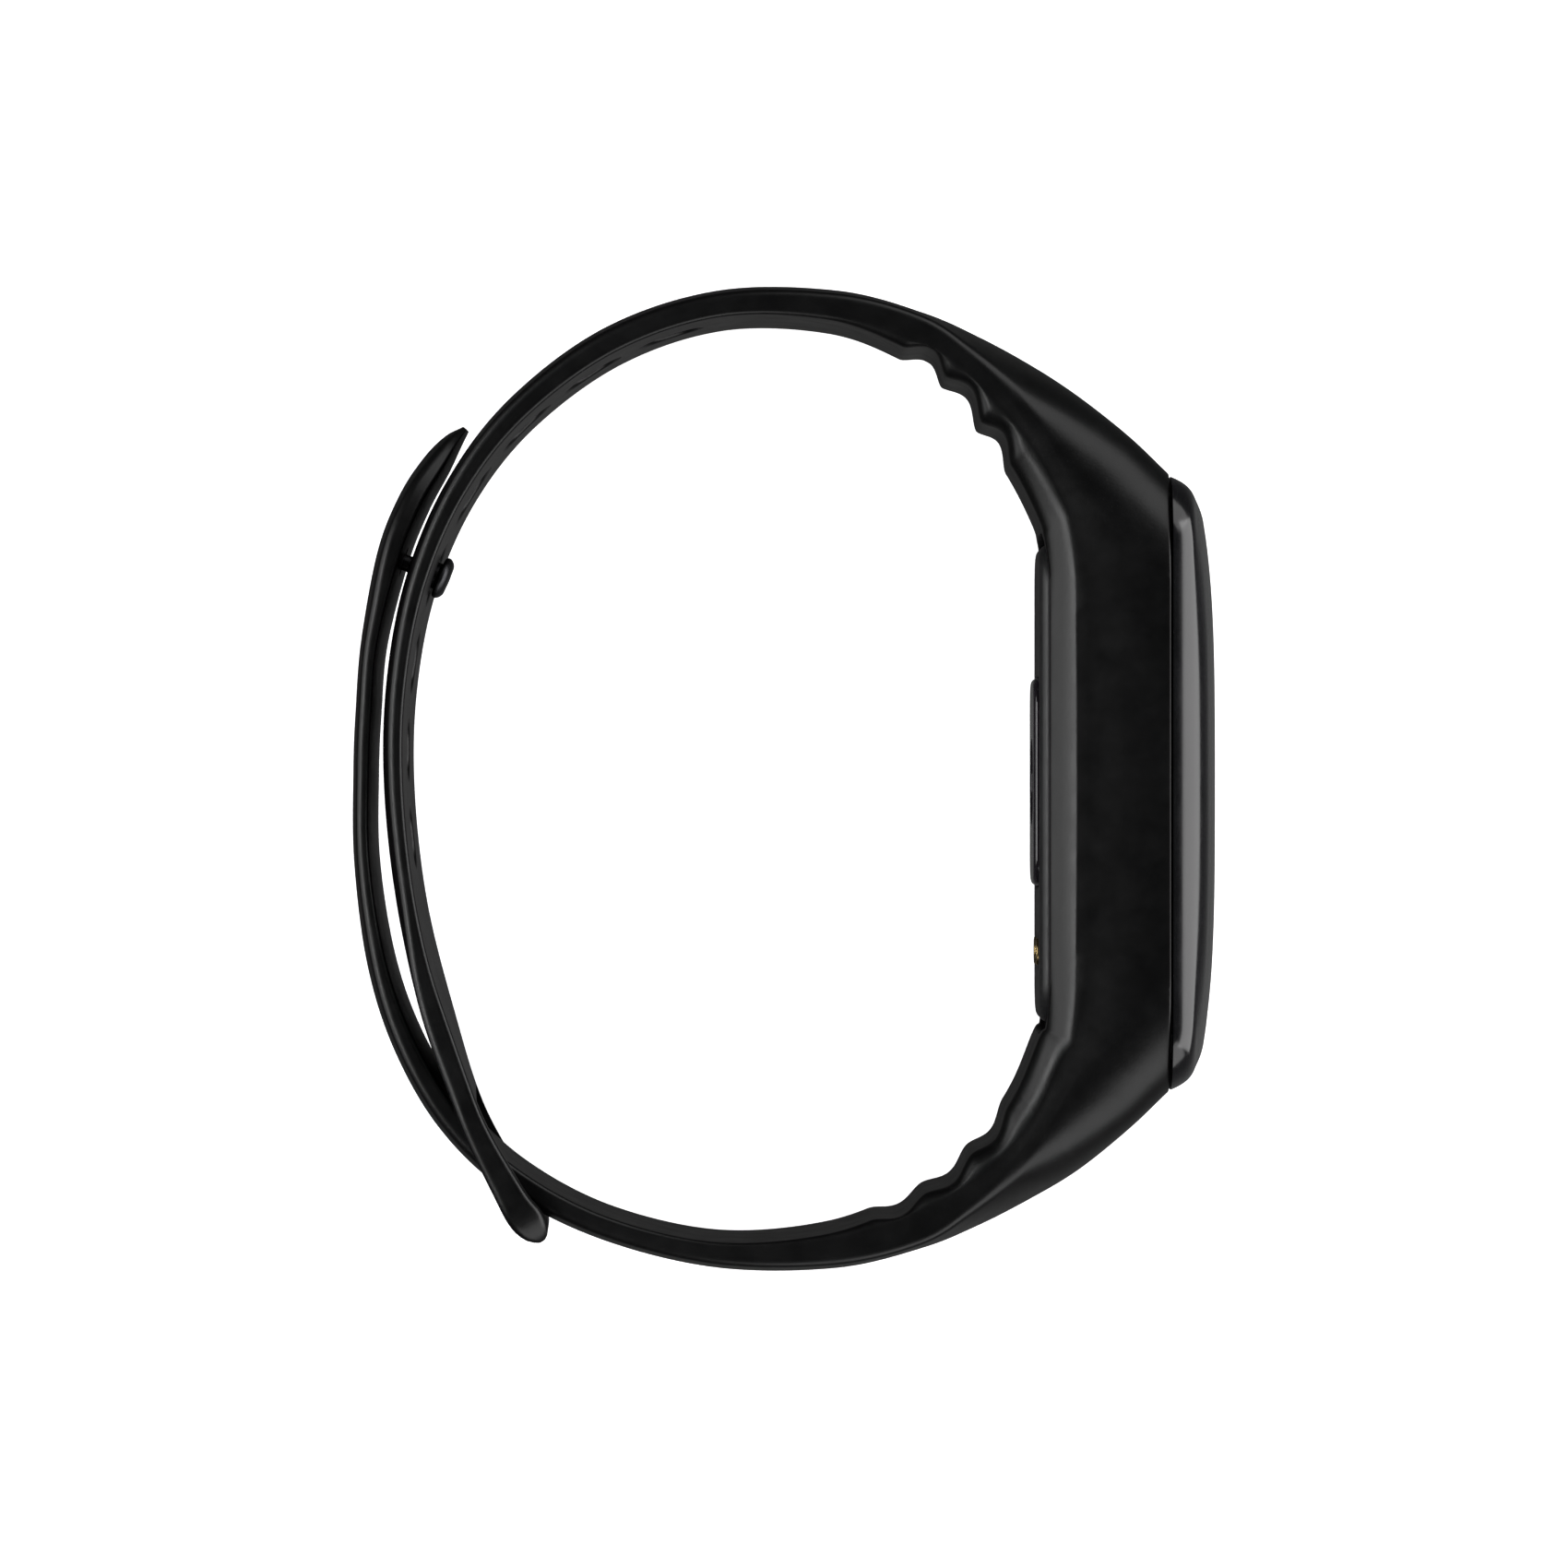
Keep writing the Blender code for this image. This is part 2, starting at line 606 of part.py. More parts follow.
def make_case(plastic):
    """The stepped tub behind the cap, with the sensor aperture and two contact holes."""
    inner = CASE_WALL * 2
    rings = [
        capsule_ring(CASE_BACK_X, BACK_LENGTH - 1.4, BACK_WIDTH - 1.6, 2.2),
        capsule_ring(CASE_BACK_X + 0.25, BACK_LENGTH - 0.4, BACK_WIDTH - 0.4, 2.6),
        capsule_ring(CASE_BACK_X + 0.7, BACK_LENGTH, BACK_WIDTH, 2.8),
        capsule_ring(CASE_STEP_X, BACK_LENGTH, BACK_WIDTH, 2.8),
        capsule_ring(CASE_STEP_X + 0.05, CASE_LENGTH, CASE_WIDTH, 2.8),
        capsule_ring(CASE_RIM_X, CASE_LENGTH, CASE_WIDTH, 2.8),
        capsule_ring(CASE_RIM_X, CASE_LENGTH - inner, CASE_WIDTH - inner, 2.2),
        capsule_ring(CASE_STEP_X + 0.2, CASE_LENGTH - inner, CASE_WIDTH - inner, 2.2),
        capsule_ring(CASE_STEP_X + 0.1, BACK_LENGTH - inner, BACK_WIDTH - inner, 2.0),
        capsule_ring(CASE_BACK_X + BACK_WALL, BACK_LENGTH - inner, BACK_WIDTH - inner, 2.0),
    ]
    case = loft("back_case", rings, plastic)
    aperture = (CLEAR, WINDOW_LENGTH + GAP, WINDOW_WIDTH + GAP)
    cut(case, plate("window_cutter", CASE_BACK_X - 1.0, aperture, (WINDOW_Y, MID), WINDOW_CORNER + GAP / 2))
    bore = bore_profile(CONTACT_RADIUS, 16.0, 18.4)
    for number in (1, 2):
        cut(case, turned("contact_cutter_%d" % number, bore, contact_place(number)))
    return case


def contact_place(number):
    """Where one of the two charging contacts is turned."""
    side = 2 * number - 3
    return Matrix.Translation(metres((0, CONTACT_Y, MID + side * CONTACT_SPACING / 2))) @ ACROSS


def make_back_parts(window, gold):
    """What shows on the back: the sensor window and the two charging contacts."""
    rings = []
    for x, shrink in WINDOW_LEVELS:
        outline = rounded_rectangle((WINDOW_Y, MID), WINDOW_LENGTH - shrink, WINDOW_WIDTH - shrink,
                                    WINDOW_CORNER)
        rings.append([(x, y, z) for y, z in outline])
    pieces = [loft("sensor_window", rings, window)]
    radius = CONTACT_RADIUS
    profile = [(0, 18.0), (radius + 0.4, 18.0), (radius + 0.4, 17.7), (radius, 17.7), (radius, 16.9),
               (radius - 0.15, 16.75), (0, 16.75)]
    for number in (1, 2):
        pieces.append(turned("charge_contact_%d" % number, profile, contact_place(number), gold))
    return pieces


def make_sensor(board, plastic, clear, silicon):
    """The optical pulse sensor behind the window."""
    pieces = [plate("sensor_board", SENSOR_BOARD_X, SENSOR_BOARD_SIZE, (WINDOW_Y, MID), 1.0, board)]
    chip_x = SENSOR_BOARD_X - CHIP_GAP - LED_SIZE[0]
    hole = (PHOTODIODE_SIZE[1] + 2 * GAP, PHOTODIODE_SIZE[2] + 2 * GAP)
    walls = [rounded_rectangle((WINDOW_Y, MID), *hole, GAP)]
    for number, side in enumerate((-1, 1)):
        centre = (WINDOW_Y + side * LED_OFFSET, MID)
        pieces.append(block("pulse_led_%d" % (number + 1), chip_x, LED_SIZE, centre, clear, 0.06))
        walls.append(circle(centre, 1.55, 16))
    pieces.append(block("photodiode", chip_x, PHOTODIODE_SIZE, (WINDOW_Y, MID), silicon, 0.06))
    pieces.append(plate("light_baffle", BAFFLE_X, BAFFLE_SIZE, (WINDOW_Y, MID), 1.5, plastic, walls))
    return pieces


def make_motor(steel, brass):
    """The coin vibration motor: can, base, shaft and a half-disc rotor."""
    place = Matrix.Translation(metres((MOTOR_X, MOTOR_Y, MID))) @ ACROSS
    radius = MOTOR_RADIUS
    height = MOTOR_HEIGHT
    can_profile = [
        (0, height), (radius - 0.2, height), (radius, height - 0.2), (radius, 0.3),
        (radius - 0.25, 0.3), (radius - 0.25, height - 0.25), (0, height - 0.25)]
    can = turned("motor_can", can_profile, place, steel)
    base_profile = [(0, 0.22), (radius, 0.22), (radius, 0.0), (0, 0.0)]
    base = turned("motor_base", base_profile, place, steel)
    shaft_profile = [(0, height - 0.4), (0.4, height - 0.4), (0.4, 0.35), (0, 0.35)]
    shaft = turned("motor_shaft", shaft_profile, place, steel)
    swing = radius - 0.75
    hub = 1.1
    steps = 16
    outline = [(swing * math.cos(math.pi * k / steps), swing * math.sin(math.pi * k / steps))
               for k in range(steps + 1)]
    outline += [(hub * math.cos(math.pi * (1 + k / steps)), hub * math.sin(math.pi * (1 + k / steps)))
                for k in range(steps + 1)]
    lift = Matrix.Translation(metres((0, 0, height / 2)))
    rotor = outline_solid("motor_rotor", [outline, circle((0, 0), 0.48)], 1.3, place @ lift, brass)
    return [can, base, shaft], rotor


def make_electronics(looks):
    """Battery, main board with its parts, display and seal."""
    centre = (SEAT_CENTRE_Y, MID)
    ring = rounded_rectangle(centre, CASE_LENGTH - 2 * SEAL_WALL, CASE_WIDTH - 2 * SEAL_WALL, 2.2)
    seal_size = (SEAL_THICKNESS, CASE_LENGTH, CASE_WIDTH)
    pieces = [
        plate("case_seal", SEAL_X, seal_size, centre, 2.8, looks["seal"], [ring]),
        block("battery", BATTERY_X, BATTERY_SIZE, (BATTERY_Y, MID), looks["pouch"], 0.4),
        plate("main_board", MAIN_BOARD_X, MAIN_BOARD_SIZE, centre, 1.2, looks["board"]),
        plate("display_panel", DISPLAY_X, DISPLAY_SIZE, (DISPLAY_Y, MID), 0.5, looks["screen"]),
        plate("touch_pad", TOUCH_X, TOUCH_SIZE, (TOUCH_Y, MID), 2.4, looks["gold"]),
    ]
    front = MAIN_BOARD_X + MAIN_BOARD_SIZE[0] + CHIP_GAP
    for name, thick, length, width, y, z in CHIPS:
        pieces.append(block(name, front, (thick, length, width), (y, z), looks["chip"], 0.08))
    thin = FLEX_THICKNESS
    ribbon = [(0, 0), (0, -FLEX_DEPTH), (FLEX_REACH, -FLEX_DEPTH), (FLEX_REACH, 0), (FLEX_REACH - thin, 0),
              (FLEX_REACH - thin, thin - FLEX_DEPTH), (thin, thin - FLEX_DEPTH), (thin, 0)]
    stand = Matrix.Translation(metres((*FLEX_AT, MID)))
    pieces.append(outline_solid("display_flex", [ribbon], FLEX_WIDTH, stand, looks["flex"]))
    return pieces


def main():
    start_scene()
    rubber = finish_of("band_rubber", (0.012, 0.012, 0.013), 0.55)
    metal = finish_of("clasp_steel", (0.16, 0.16, 0.17), 0.2, 1.0)
    gloss = finish_of("cap_gloss", (0.006, 0.006, 0.007), 0.08)
    plastic = finish_of("case_plastic", (0.015, 0.015, 0.016), 0.4)
    window = finish_of("sensor_window", (0.02, 0.02, 0.025), 0.06)
    gold = finish_of("contact_gold", (0.8, 0.58, 0.25), 0.25, 1.0)
    steel = finish_of("motor_steel", (0.55, 0.55, 0.57), 0.3, 1.0)
    brass = finish_of("rotor_brass", (0.5, 0.42, 0.25), 0.35, 1.0)
    board = finish_of("circuit_board", (0.01, 0.08, 0.03), 0.45)
    chip = finish_of("chip_black", (0.02, 0.02, 0.02), 0.5)
    looks = {
        "seal": finish_of("seal_rubber", (0.03, 0.03, 0.03), 0.7),
        "pouch": finish_of("battery_foil", (0.6, 0.6, 0.62), 0.35, 0.6),
        "screen": finish_of("display_glass", (0.008, 0.008, 0.01), 0.1),
        "flex": finish_of("flex_polyimide", (0.5, 0.25, 0.04), 0.4),
        "board": board,
        "chip": chip,
        "gold": gold,
    }
    make_cradle(rubber)
    make_upper_strap(rubber)
    make_lower_strap(rubber)
    tongue = [make_tongue(rubber), *make_clasp(metal)]
    hang_on(tongue, "peel_axis", (*PEEL_AXIS, MID))
    capsule = [make_cap(gloss), make_case(plastic), *make_back_parts(window, gold)]
    capsule += make_sensor(board, plastic, finish_of("led_lens", (0.1, 0.5, 0.15), 0.2), chip)
    capsule += make_electronics(looks)
    fixed, rotor = make_motor(steel, brass)
    hang_on(capsule + fixed, "capsule_slide", (RIM_X, SEAT_CENTRE_Y, MID))
    hang_on([rotor], "motor_axis", (MOTOR_X, MOTOR_Y, MID))


main()
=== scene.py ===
"""Looks of the fitness tracker band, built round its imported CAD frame.

The band lies on its side: the wrist axis is Z and the capsule faces +X. Its shapes are worked out
in millimetres and turned into metres where a mesh is made. Floor and studio are in metres.
"""
import math

import bmesh
import bpy
import numpy as np
from mathutils import Matrix, Vector


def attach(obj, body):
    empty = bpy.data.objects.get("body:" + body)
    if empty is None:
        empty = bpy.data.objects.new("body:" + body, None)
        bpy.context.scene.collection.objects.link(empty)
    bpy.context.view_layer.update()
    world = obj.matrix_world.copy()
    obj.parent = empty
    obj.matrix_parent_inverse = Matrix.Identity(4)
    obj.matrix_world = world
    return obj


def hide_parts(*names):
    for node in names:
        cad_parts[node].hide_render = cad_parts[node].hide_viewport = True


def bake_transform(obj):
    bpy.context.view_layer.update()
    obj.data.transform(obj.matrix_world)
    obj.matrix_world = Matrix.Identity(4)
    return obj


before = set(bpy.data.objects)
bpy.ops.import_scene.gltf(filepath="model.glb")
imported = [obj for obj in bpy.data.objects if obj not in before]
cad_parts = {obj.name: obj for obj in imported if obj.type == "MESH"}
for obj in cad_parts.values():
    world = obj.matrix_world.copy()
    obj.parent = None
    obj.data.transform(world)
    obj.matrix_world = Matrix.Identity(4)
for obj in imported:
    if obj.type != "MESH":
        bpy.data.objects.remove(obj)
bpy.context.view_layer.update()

MM = 0.001
MID = 9.0                       # the band's mid plane, and half its greatest width
SHARP_ANGLE = math.radians(38)

# Straps, from the cradle to their ends: x, y of the outer face and x, y of the inner face in the mid
# plane, half width, roundness of the inner edges
UPPER_STRAP = (
    (19.60, 25.44, 15.31, 20.17, 8.30, 1.9),
    (16.56, 27.55, 13.05, 23.50, 8.15, 1.4),
    (13.05, 29.49, 10.70, 26.50, 8.05, 1.0),
    (9.38, 31.06, 7.90, 28.42, 8.0, 0.7),
    (3.59, 32.57, 3.06, 30.21, 8.0, 0.4),
    (-4.38, 32.58, -4.07, 30.43, 8.0, 0.3),
    (-11.96, 30.10, -10.95, 28.18, 8.0, 0.3),
    (-18.34, 25.34, -16.90, 23.87, 8.0, 0.3),
    (-22.55, 19.78, -20.93, 18.81, 8.0, 0.3),
    (-25.26, 13.35, -23.58, 12.83, 8.0, 0.3),
    (-26.54, 6.47, -24.88, 6.30, 8.0, 0.3),
    (-26.70, -0.54, -25.08, -0.48, 8.0, 0.3),
    (-25.83, -8.48, -24.24, -8.20, 8.1, 0.3),
    (-24.00, -16.26, -22.40, -15.75, 8.6, 0.3),
    (-21.91, -22.82, -20.42, -22.07, 9.0, 0.35),
    (-19.50, -28.00, -17.64, -27.05, 9.0, 0.4),
    (-18.55, -29.75, -16.40, -28.65, 8.8, 0.5),
    (-17.70, -30.58, -16.00, -29.68, 8.4, 0.5),
    (-17.00, -30.85, -16.00, -30.30, 8.0, 0.3),
    (-16.52, -30.88, -16.20, -30.68, 7.7, 0.08),
)
LOWER_STRAP = (
    (19.62, -25.98, 15.38, -20.60, 8.30, 1.9),
    (16.49, -27.98, 13.30, -23.70, 8.15, 1.4),
    (12.95, -29.82, 10.70, -26.30, 8.0, 1.0),
    (9.24, -31.28, 7.90, -28.10, 7.9, 0.7),
    (3.40, -32.63, 2.80, -30.00, 7.8, 0.4),
    (-4.59, -32.59, -4.40, -30.55, 7.5, 0.3),
    (-12.33, -30.68, -11.65, -28.90, 7.1, 0.3),
    (-18.57, -27.51, -17.40, -25.85, 6.95, 0.3),
    (-22.92, -23.42, -21.35, -22.10, 6.9, 0.3),
    (-25.95, -18.25, -24.30, -17.45, 6.9, 0.3),
    (-27.79, -12.56, -26.25, -12.15, 6.8, 0.3),
    (-28.69, -5.63, -27.35, -5.50, 6.8, 0.25),
    (-28.75, 0.55, -27.42, 0.55, 6.8, 0.25),
    (-28.60, 4.60, -27.25, 4.50, 6.8, 0.25),
    (-28.22, 9.35, -26.84, 9.10, 6.8, 0.25),
    (-27.13, 15.24, -25.40, 14.69, 6.7, 0.3),
    (-25.68, 18.97, -23.96, 18.20, 6.0, 0.3),
    (-24.06, 21.48, -22.57, 20.67, 4.8, 0.25),
    (-22.66, 22.90, -21.74, 22.28, 3.4, 0.15),
    (-21.45, 23.55, -21.15, 23.30, 1.8, 0.05),
)
# Shoulders, from the cradle's rim out along a strap: depth of the rounded flank, half width of the
# flat on top of it, the two exponents of its curve, how much of the cradle's side profile it has,
# and the height above the inner face where that profile reaches full width
SHOULDER = (
    (5.67, 4.4, 2.4, 2.4, 0.75, 5.2),
    (5.4, 4.0, 2.4, 2.4, 0.6, 4.4),
    (4.0, 2.3, 2.3, 2.1, 0.4, 3.5),
    (2.5, 0.8, 2.0, 1.5, 0.25, 3.0),
    (1.4, 0.1, 2.0, 1.15, 0.1, 2.6),
)
# The same values along a strap, and along the loop
STRAP_CROWN = (0.65, 0.0, 2.0, 1.0, 0.0, 2.5)
LOOP_CROWN = (0.12, 0.0, 2.0, 1.0, 0.0, 2.5)
LOOP_ROWS = 7                   # the upper strap's last rows, which are the loop's
LOOP_TWIST = 0.5                # how far the loop's upper edge leans in towards the wrist
LOOP_START = -12.0              # y from which it leans
LOOP_LEAN = 10.0                # and how far below that it has its full lean
CROWN_LIMIT = 1.0               # flanks less deep than this are a strap's crown
CROWN_SHARE = 0.42              # of a strap's thickness, at the most
CROWN_TIP = 0.02                # half of the level part that stays on top of a crown
SIDE_MARGIN = 0.1               # a section's top is at least this much narrower than its side
EDGE_FILLET = 0.45              # between the side and the outer flank
FILLET_LIMITS = (0.3, 0.25, 0.7)    # it takes no more of thickness, half width and flank than this
INNER_SHARES = (0.3, 0.6, 0.8, 0.93)    # where a section has points across its inner face
INNER_STEPS, SIDE_STEPS, FLANK_STEPS = 6, 8, 13     # round the inner edge, up the side, over the flank
EDGE_SHARE = 0.45               # no edge takes more of a side than this
CHAMFER_STRAIGHTNESS = 0.85     # of the cradle's inner edge, where 1 is a straight chamfer
HOLLOW_SHARE = 0.88             # a scallop's depth, as a share of the inner edge's height, at the most
FLANK_END = 0.02                # the least share of the flank that a section keeps
STRAP_STEPS = 40                # samples from one row of a strap to the next
SHOULDER_STRIDE = 5             # samples from one ring of a shoulder to the next
END_SAMPLES = 12                # the samples of a strap's end that have closer rings
END_STRIDE = 4                  # and how many of them there are from ring to ring
RING_STEP = 0.4                 # between two rings of a strap
FINE_STEP = 0.19                # and where it is scalloped
RING_GAP = 0.04                 # rings nearer than this to the one before are left out

# Scallops hollowed across the inner face beside the cradle: their crests from the strap's root on,
# their depth and how broad they are
UPPER_SCALLOPS = ((0.6, 4.1, 7.9, 11.3), 0.78, 0.75)
LOWER_SCALLOPS = ((1.2, 5.2, 9.2, 13.2), 0.55, 0.9)

# Cradle: its rim round the cap, its inner face on the wrist
RIM_X = 25.45
INNER_X = 17.6
RIM_TOP = 20.25
RIM_BOTTOM = -20.75
RIM_FILLET = 0.14
RIM_FADE = 1.5                  # from its ends, how far the rim's fillet grows
RIM_EDGE = 0.24                 # a flank begins at least this far below the outer face
RIM_RINGS = (20, 30)            # round a corner of the rim, and along its straight part
CORNER_REACH = 7.7              # along the rim, how far its rounded corners go
TOP_INWARD = 0.42               # how far its ends curve in towards the wrist
BOTTOM_INWARD = 0.3
INWARD_CURVE = 1.5              # above 1, that is only near the ends
CHAMFER = (1.0, 1.75)           # on the wrist side: width and height
SIDE_INSET = 0.42               # how far the side stands in above the chamfer
INSET_CURVE = 0.8               # below 1, that is made up for sooner
# The cradle's sections spread like a fan: y at the rim and y at the inner face
CRADLE_FOLD = ((RIM_BOTTOM, -16.5), (-18.0, -14.6), (-16.15, -13.3), (0.0, 0.0),
               (15.65, 12.9), (17.5, 14.0), (RIM_TOP, 15.9))
# Half width, inner roundness and shoulder values at the cradle's ends, and what its middle adds
CRADLE_END = (8.7, 2.2, 5.4, 4.4, 2.4, 2.4, 0.75, 5.2)
CRADLE_GAIN = (0.3, 0.0, 0.0, 0.0, 0.0, 0.0, 0.25, 1.3)
# Between rim and strap: outer x, y past the rim, inner x, y, half width, inner roundness
SHOULDER_ROW = (22.88, 2.48, 16.85, 17.1, 8.5, 2.1)
SHOULDER_NORMAL = (2.5, 2.55)   # square to the shoulder's slope at the rim

# The capsule's seat in the cradle and the wrist opening behind it: x, length, width, corner
SEAT_Y = -0.3
SEAT = ((18.85, 36.6, 14.4, 2.8), (18.95, 36.9, 14.7, 2.95), (19.15, 37.0, 14.8, 3.0),
        (25.0, 37.0, 14.8, 3.0), (25.2, 37.1, 14.9, 3.05), (25.36, 37.3, 15.1, 3.15),
        (25.46, 37.6, 15.4, 3.3), (27.0, 37.6, 15.4, 3.3))
OPENING = ((12.0, 33.3, 13.7, 3.4), (17.58, 33.3, 13.7, 3.4), (17.68, 32.9, 13.3, 3.2),
           (17.86, 32.5, 12.9, 3.05), (18.1, 32.4, 12.8, 3.0), (19.2, 32.4, 12.8, 3.0))

# Loop: its opening seen along the wrist axis, rounded at both ends (distance from the end, shrink)
SLOT_CORNERS = ((-25.2, -16.8), (-19.2, -22.2), (-14.9, -29.92), (-20.0, -27.33))
SLOT_CENTRE = (-20.3, -23.4)
SLOT_ENDS = ((0.35, 0.0), (0.12, 0.03), (0.0, 0.12))
LOOP_RAIL = 1.75                # width of the rails beside the opening

# Adjustment holes: length and width, and their flare (depth below the face, extra half size)
HOLE_SIZE = (3.9, 3.3)
HOLE_PITCH = 6.0
HOLES = range(-4, 4)            # counted from the stud's
HOLE_FLARE = ((0.34, 0.0), (0.16, 0.03), (0.02, 0.16), (-0.1, 0.34))
HOLE_POINTS = 56
PUNCH_REACH = 2.2
PILL_FLAT = 0.01                # half the flat that stays at a pill's ends

# Stud: where it comes out of the upper strap's inner face, and its axis towards the wrist. Its form
# and its bore's are radius and height outwards from that place.
STUD_AT = (-23.22, 13.58)
STUD_AXIS = Vector((0.921, -0.388, 0.0)).normalized()
STUD_TO_MID = 0.85              # from there out to the strap's mid line
STUD_PROFILE = (
    (0.02, 3.5), (0.55, 3.5), (0.55, 1.4), (0.9, 1.2), (0.9, -0.12), (1.3, -0.12), (1.42, -0.28),
    (1.42, -0.46), (1.25, -0.7), (1.0, -0.84), (0.88, -0.84), (0.8, -0.79), (0.4, -0.88), (0.02, -0.9))
STUD_ROUNDING = 0.12
STUD_BORE = ((1.0, 5.2), (1.0, 1.2))

# Plate: height and how far its outline is drawn in, for itself and for its pocket in the tongue
PLATE_SIZE = (6.8, 3.0)
PLATE_CENTRE = -2.4             # along the tongue from the stud
PLATE = ((3.56, 0.088), (3.648, 0.0), (3.79, 0.0), (3.911, 0.0396), (3.988, 0.132), (4.01, 0.286))
POCKET = ((3.44, -0.12), (4.94, -0.12))
PLATE_POINTS = 80

# Capsule cap: its flat base, the edge's rounding and the crown over the front
CAP_BASE = 25.60
CAP_MIDDLE = -0.29              # y of its centre
CAP_HALF = (20.31, 8.86)        # half length and half width at the base
CAP_HEIGHT = 3.19
CAP_EDGE = 2.09                 # how high its rounded edge is, before the crown takes over
CAP_ROUNDING = (3.1, 2.4)       # how far in from the ends and the sides the rounding goes
CAP_CORNER = 4.0
CAP_EDGE_CORNER = 1.8           # the corner's length along the cap, where the rounding ends
CAP_CROWN = (0.00036, 0.0000073, 0.0165)    # fall with y squared, y to the fourth and z squared
CAP_ROUND = (3, 0.87)           # exponents of the rounding's curve
CAP_BLEND = 4                   # the higher, the later the rounding takes up the crown
CAP_SPACING = 1.6               # above 1, the rounding's rings draw together towards the base
CAP_RINGS = (30, 20)            # over the crown and over the rounding
CAP_FLAT = 0.03                 # the crown's level middle, as a share of its outline
CAP_POINTS = (12, 60, 16)       # round a corner, along a side and across an end
# Inside, from the base inwards: x, how far in and corner
CAP_HOLLOW = ((25.60, 1.3, 2.8), (25.8, 1.35, 2.8), (26.9, 1.9, 2.4), (27.6, 4.0, 2.0))
DISH = (-15.2, 2.6, 0.16)       # touch area: y, radius and depth of the hollow

# Tub of the capsule. Its back stands in the wrist opening and its front in the seat: length, width
# and corner, then x of the face, x where the face's rounded edge ends and x of the end
TUB_BACK = (31.8, 12.2, 2.8)
TUB_BACK_X = (16.92, 17.65, 19.08)
TUB_FRONT = (36.5, 14.3, 2.8)
TUB_FRONT_X = (19.1, 19.3, 24.95)
TUB_ROUNDING = (0.75, 0.2)      # how far in the rounded edges of back and front go
TUB_POINTS = 120
LEAST_CORNER = 0.5
# Its hollow, from the mouth inwards: x, length, width, corner
TUB_HOLLOW = ((25.0, 36.4, 14.2, 2.75), (25.0, 34.9, 12.7, 2.2), (19.3, 34.9, 12.7, 2.2),
              (19.2, 30.2, 10.6, 2.0), (17.6, 30.2, 10.6, 2.0))

# Sensor window in the same way, its aperture in the tub, and its round lens as radius and x
WINDOW_Y = -0.2
WINDOW = (13.8, 8.4, 2.0)
WINDOW_X = (16.56, 16.85, 17.55)
WINDOW_ROUNDING = 0.45
APERTURE = ((15.0, 14.5, 9.1, 2.5), (16.93, 14.5, 9.1, 2.5), (17.05, 14.15, 8.75, 2.2),
            (18.8, 14.1, 8.7, 2.15))
LENS = ((2.9, 16.2), (2.9, 16.62), (2.75, 16.7), (0.02, 16.68))

# Charging contacts: y, distance from the mid plane, then radius and x of pad and bore
CONTACT_Y = -11.5
CONTACT_Z = 2.0
CONTACT_PAD = ((0.02, 18.0), (1.3, 18.0), (1.3, 17.7), (0.9, 17.7), (0.9, 16.78), (0.62, 16.78),
               (0.3, 16.86), (0.02, 16.88))
CONTACT_ROUNDING = 0.08
CONTACT_POINTS = 40
CONTACT_BORE = ((1.3, 16.0), (1.3, 16.93), (1.05, 17.05), (1.0, 17.2), (1.0, 18.4))

# Floor: radius and height of its rings, the first of which is filled
FLOOR_PROFILE = ((0.0001, 0.0), (0.3, 0.0), (0.8, 0.0), (1.5, 0.0), (1.8, 0.03), (2.05, 0.12),
                 (2.2, 0.28), (2.28, 0.5), (2.3, 0.9))
FLOOR_SIDES = 96
FLOOR_DROP = -0.00002

# Studio: name, place, size and power of the soft boxes, then sky and camera
STUDIO_CENTRE = (0.0, 0.0, 0.009)
SOFT_BOXES = (
    ("softbox_right", (0.62, -0.02, 0.19), (0.7, 0.52), 3.1),
    ("softbox_left", (-0.62, 0.05, 0.2), (0.7, 0.36), 1.25),
    ("key_left", (-0.42, 0.02, 0.48), (0.5, 0.14), 1.4),
    ("softbox_far", (0.36, 0.46, 0.32), (0.7, 0.5), 1.35),
    ("softbox_near", (0.26, -0.52, 0.32), (0.7, 0.5), 1.6),
)
SKY_DARK = (-0.5, 0.35, 0.79)   # direction of its darkest point
# Its brightness, from the point opposite to that one
SKY_STOPS = ((0.0, 0.16), (0.1, 0.085), (0.25, 0.03), (0.5, 0.012), (1.0, 0.005))
CAMERA_AT = (0.0, -0.000338, 0.518)
CAMERA_LENS = 174.7
CAMERA_SENSOR = 36.0
CAMERA_CLIP = (0.02, 20.0)

QUADRANTS = ((1, 1), (-1, 1), (-1, -1), (1, -1))
CORNER_STEPS = 16               # of a rounded rectangle's corner
NORMAL_WEIGHT = 60              # of large faces over small ones

# Standing upright in the capsule: local x, y and z are world y, z and x
ACROSS = Matrix(((0, 0, 1, 0), (1, 0, 0, 0), (0, 1, 0, 0), (0, 0, 0, 1)))


# ---------------------------------------------------------------- mesh helpers

def add_piece(name, mesh, material):
    """Link a mesh as a piece, smooth but for its sharp edges."""
    piece = bpy.data.objects.new(name, mesh)
    bpy.context.scene.collection.objects.link(piece)
    mesh.materials.clear()
    mesh.materials.append(material)
    mesh.shade_smooth()
    mesh.set_sharp_from_angle(angle=SHARP_ANGLE)
    return piece


def skin(form, rings):
    """Rows of points in metres joined by faces; returns the rows."""
    rows = [[form.verts.new(point) for point in ring] for ring in rings]
    count = len(rows[0])
    for near, far in zip(rows, rows[1:]):
        for i in range(count):
            j = (i + 1) % count
            form.faces.new((near[i], near[j], far[j], far[i]))
    return rows


def form_to_mesh(form, name):
    """A mesh from a form, which is freed."""
    mesh = bpy.data.meshes.new(name)
    form.to_mesh(mesh)
    form.free()
    return mesh


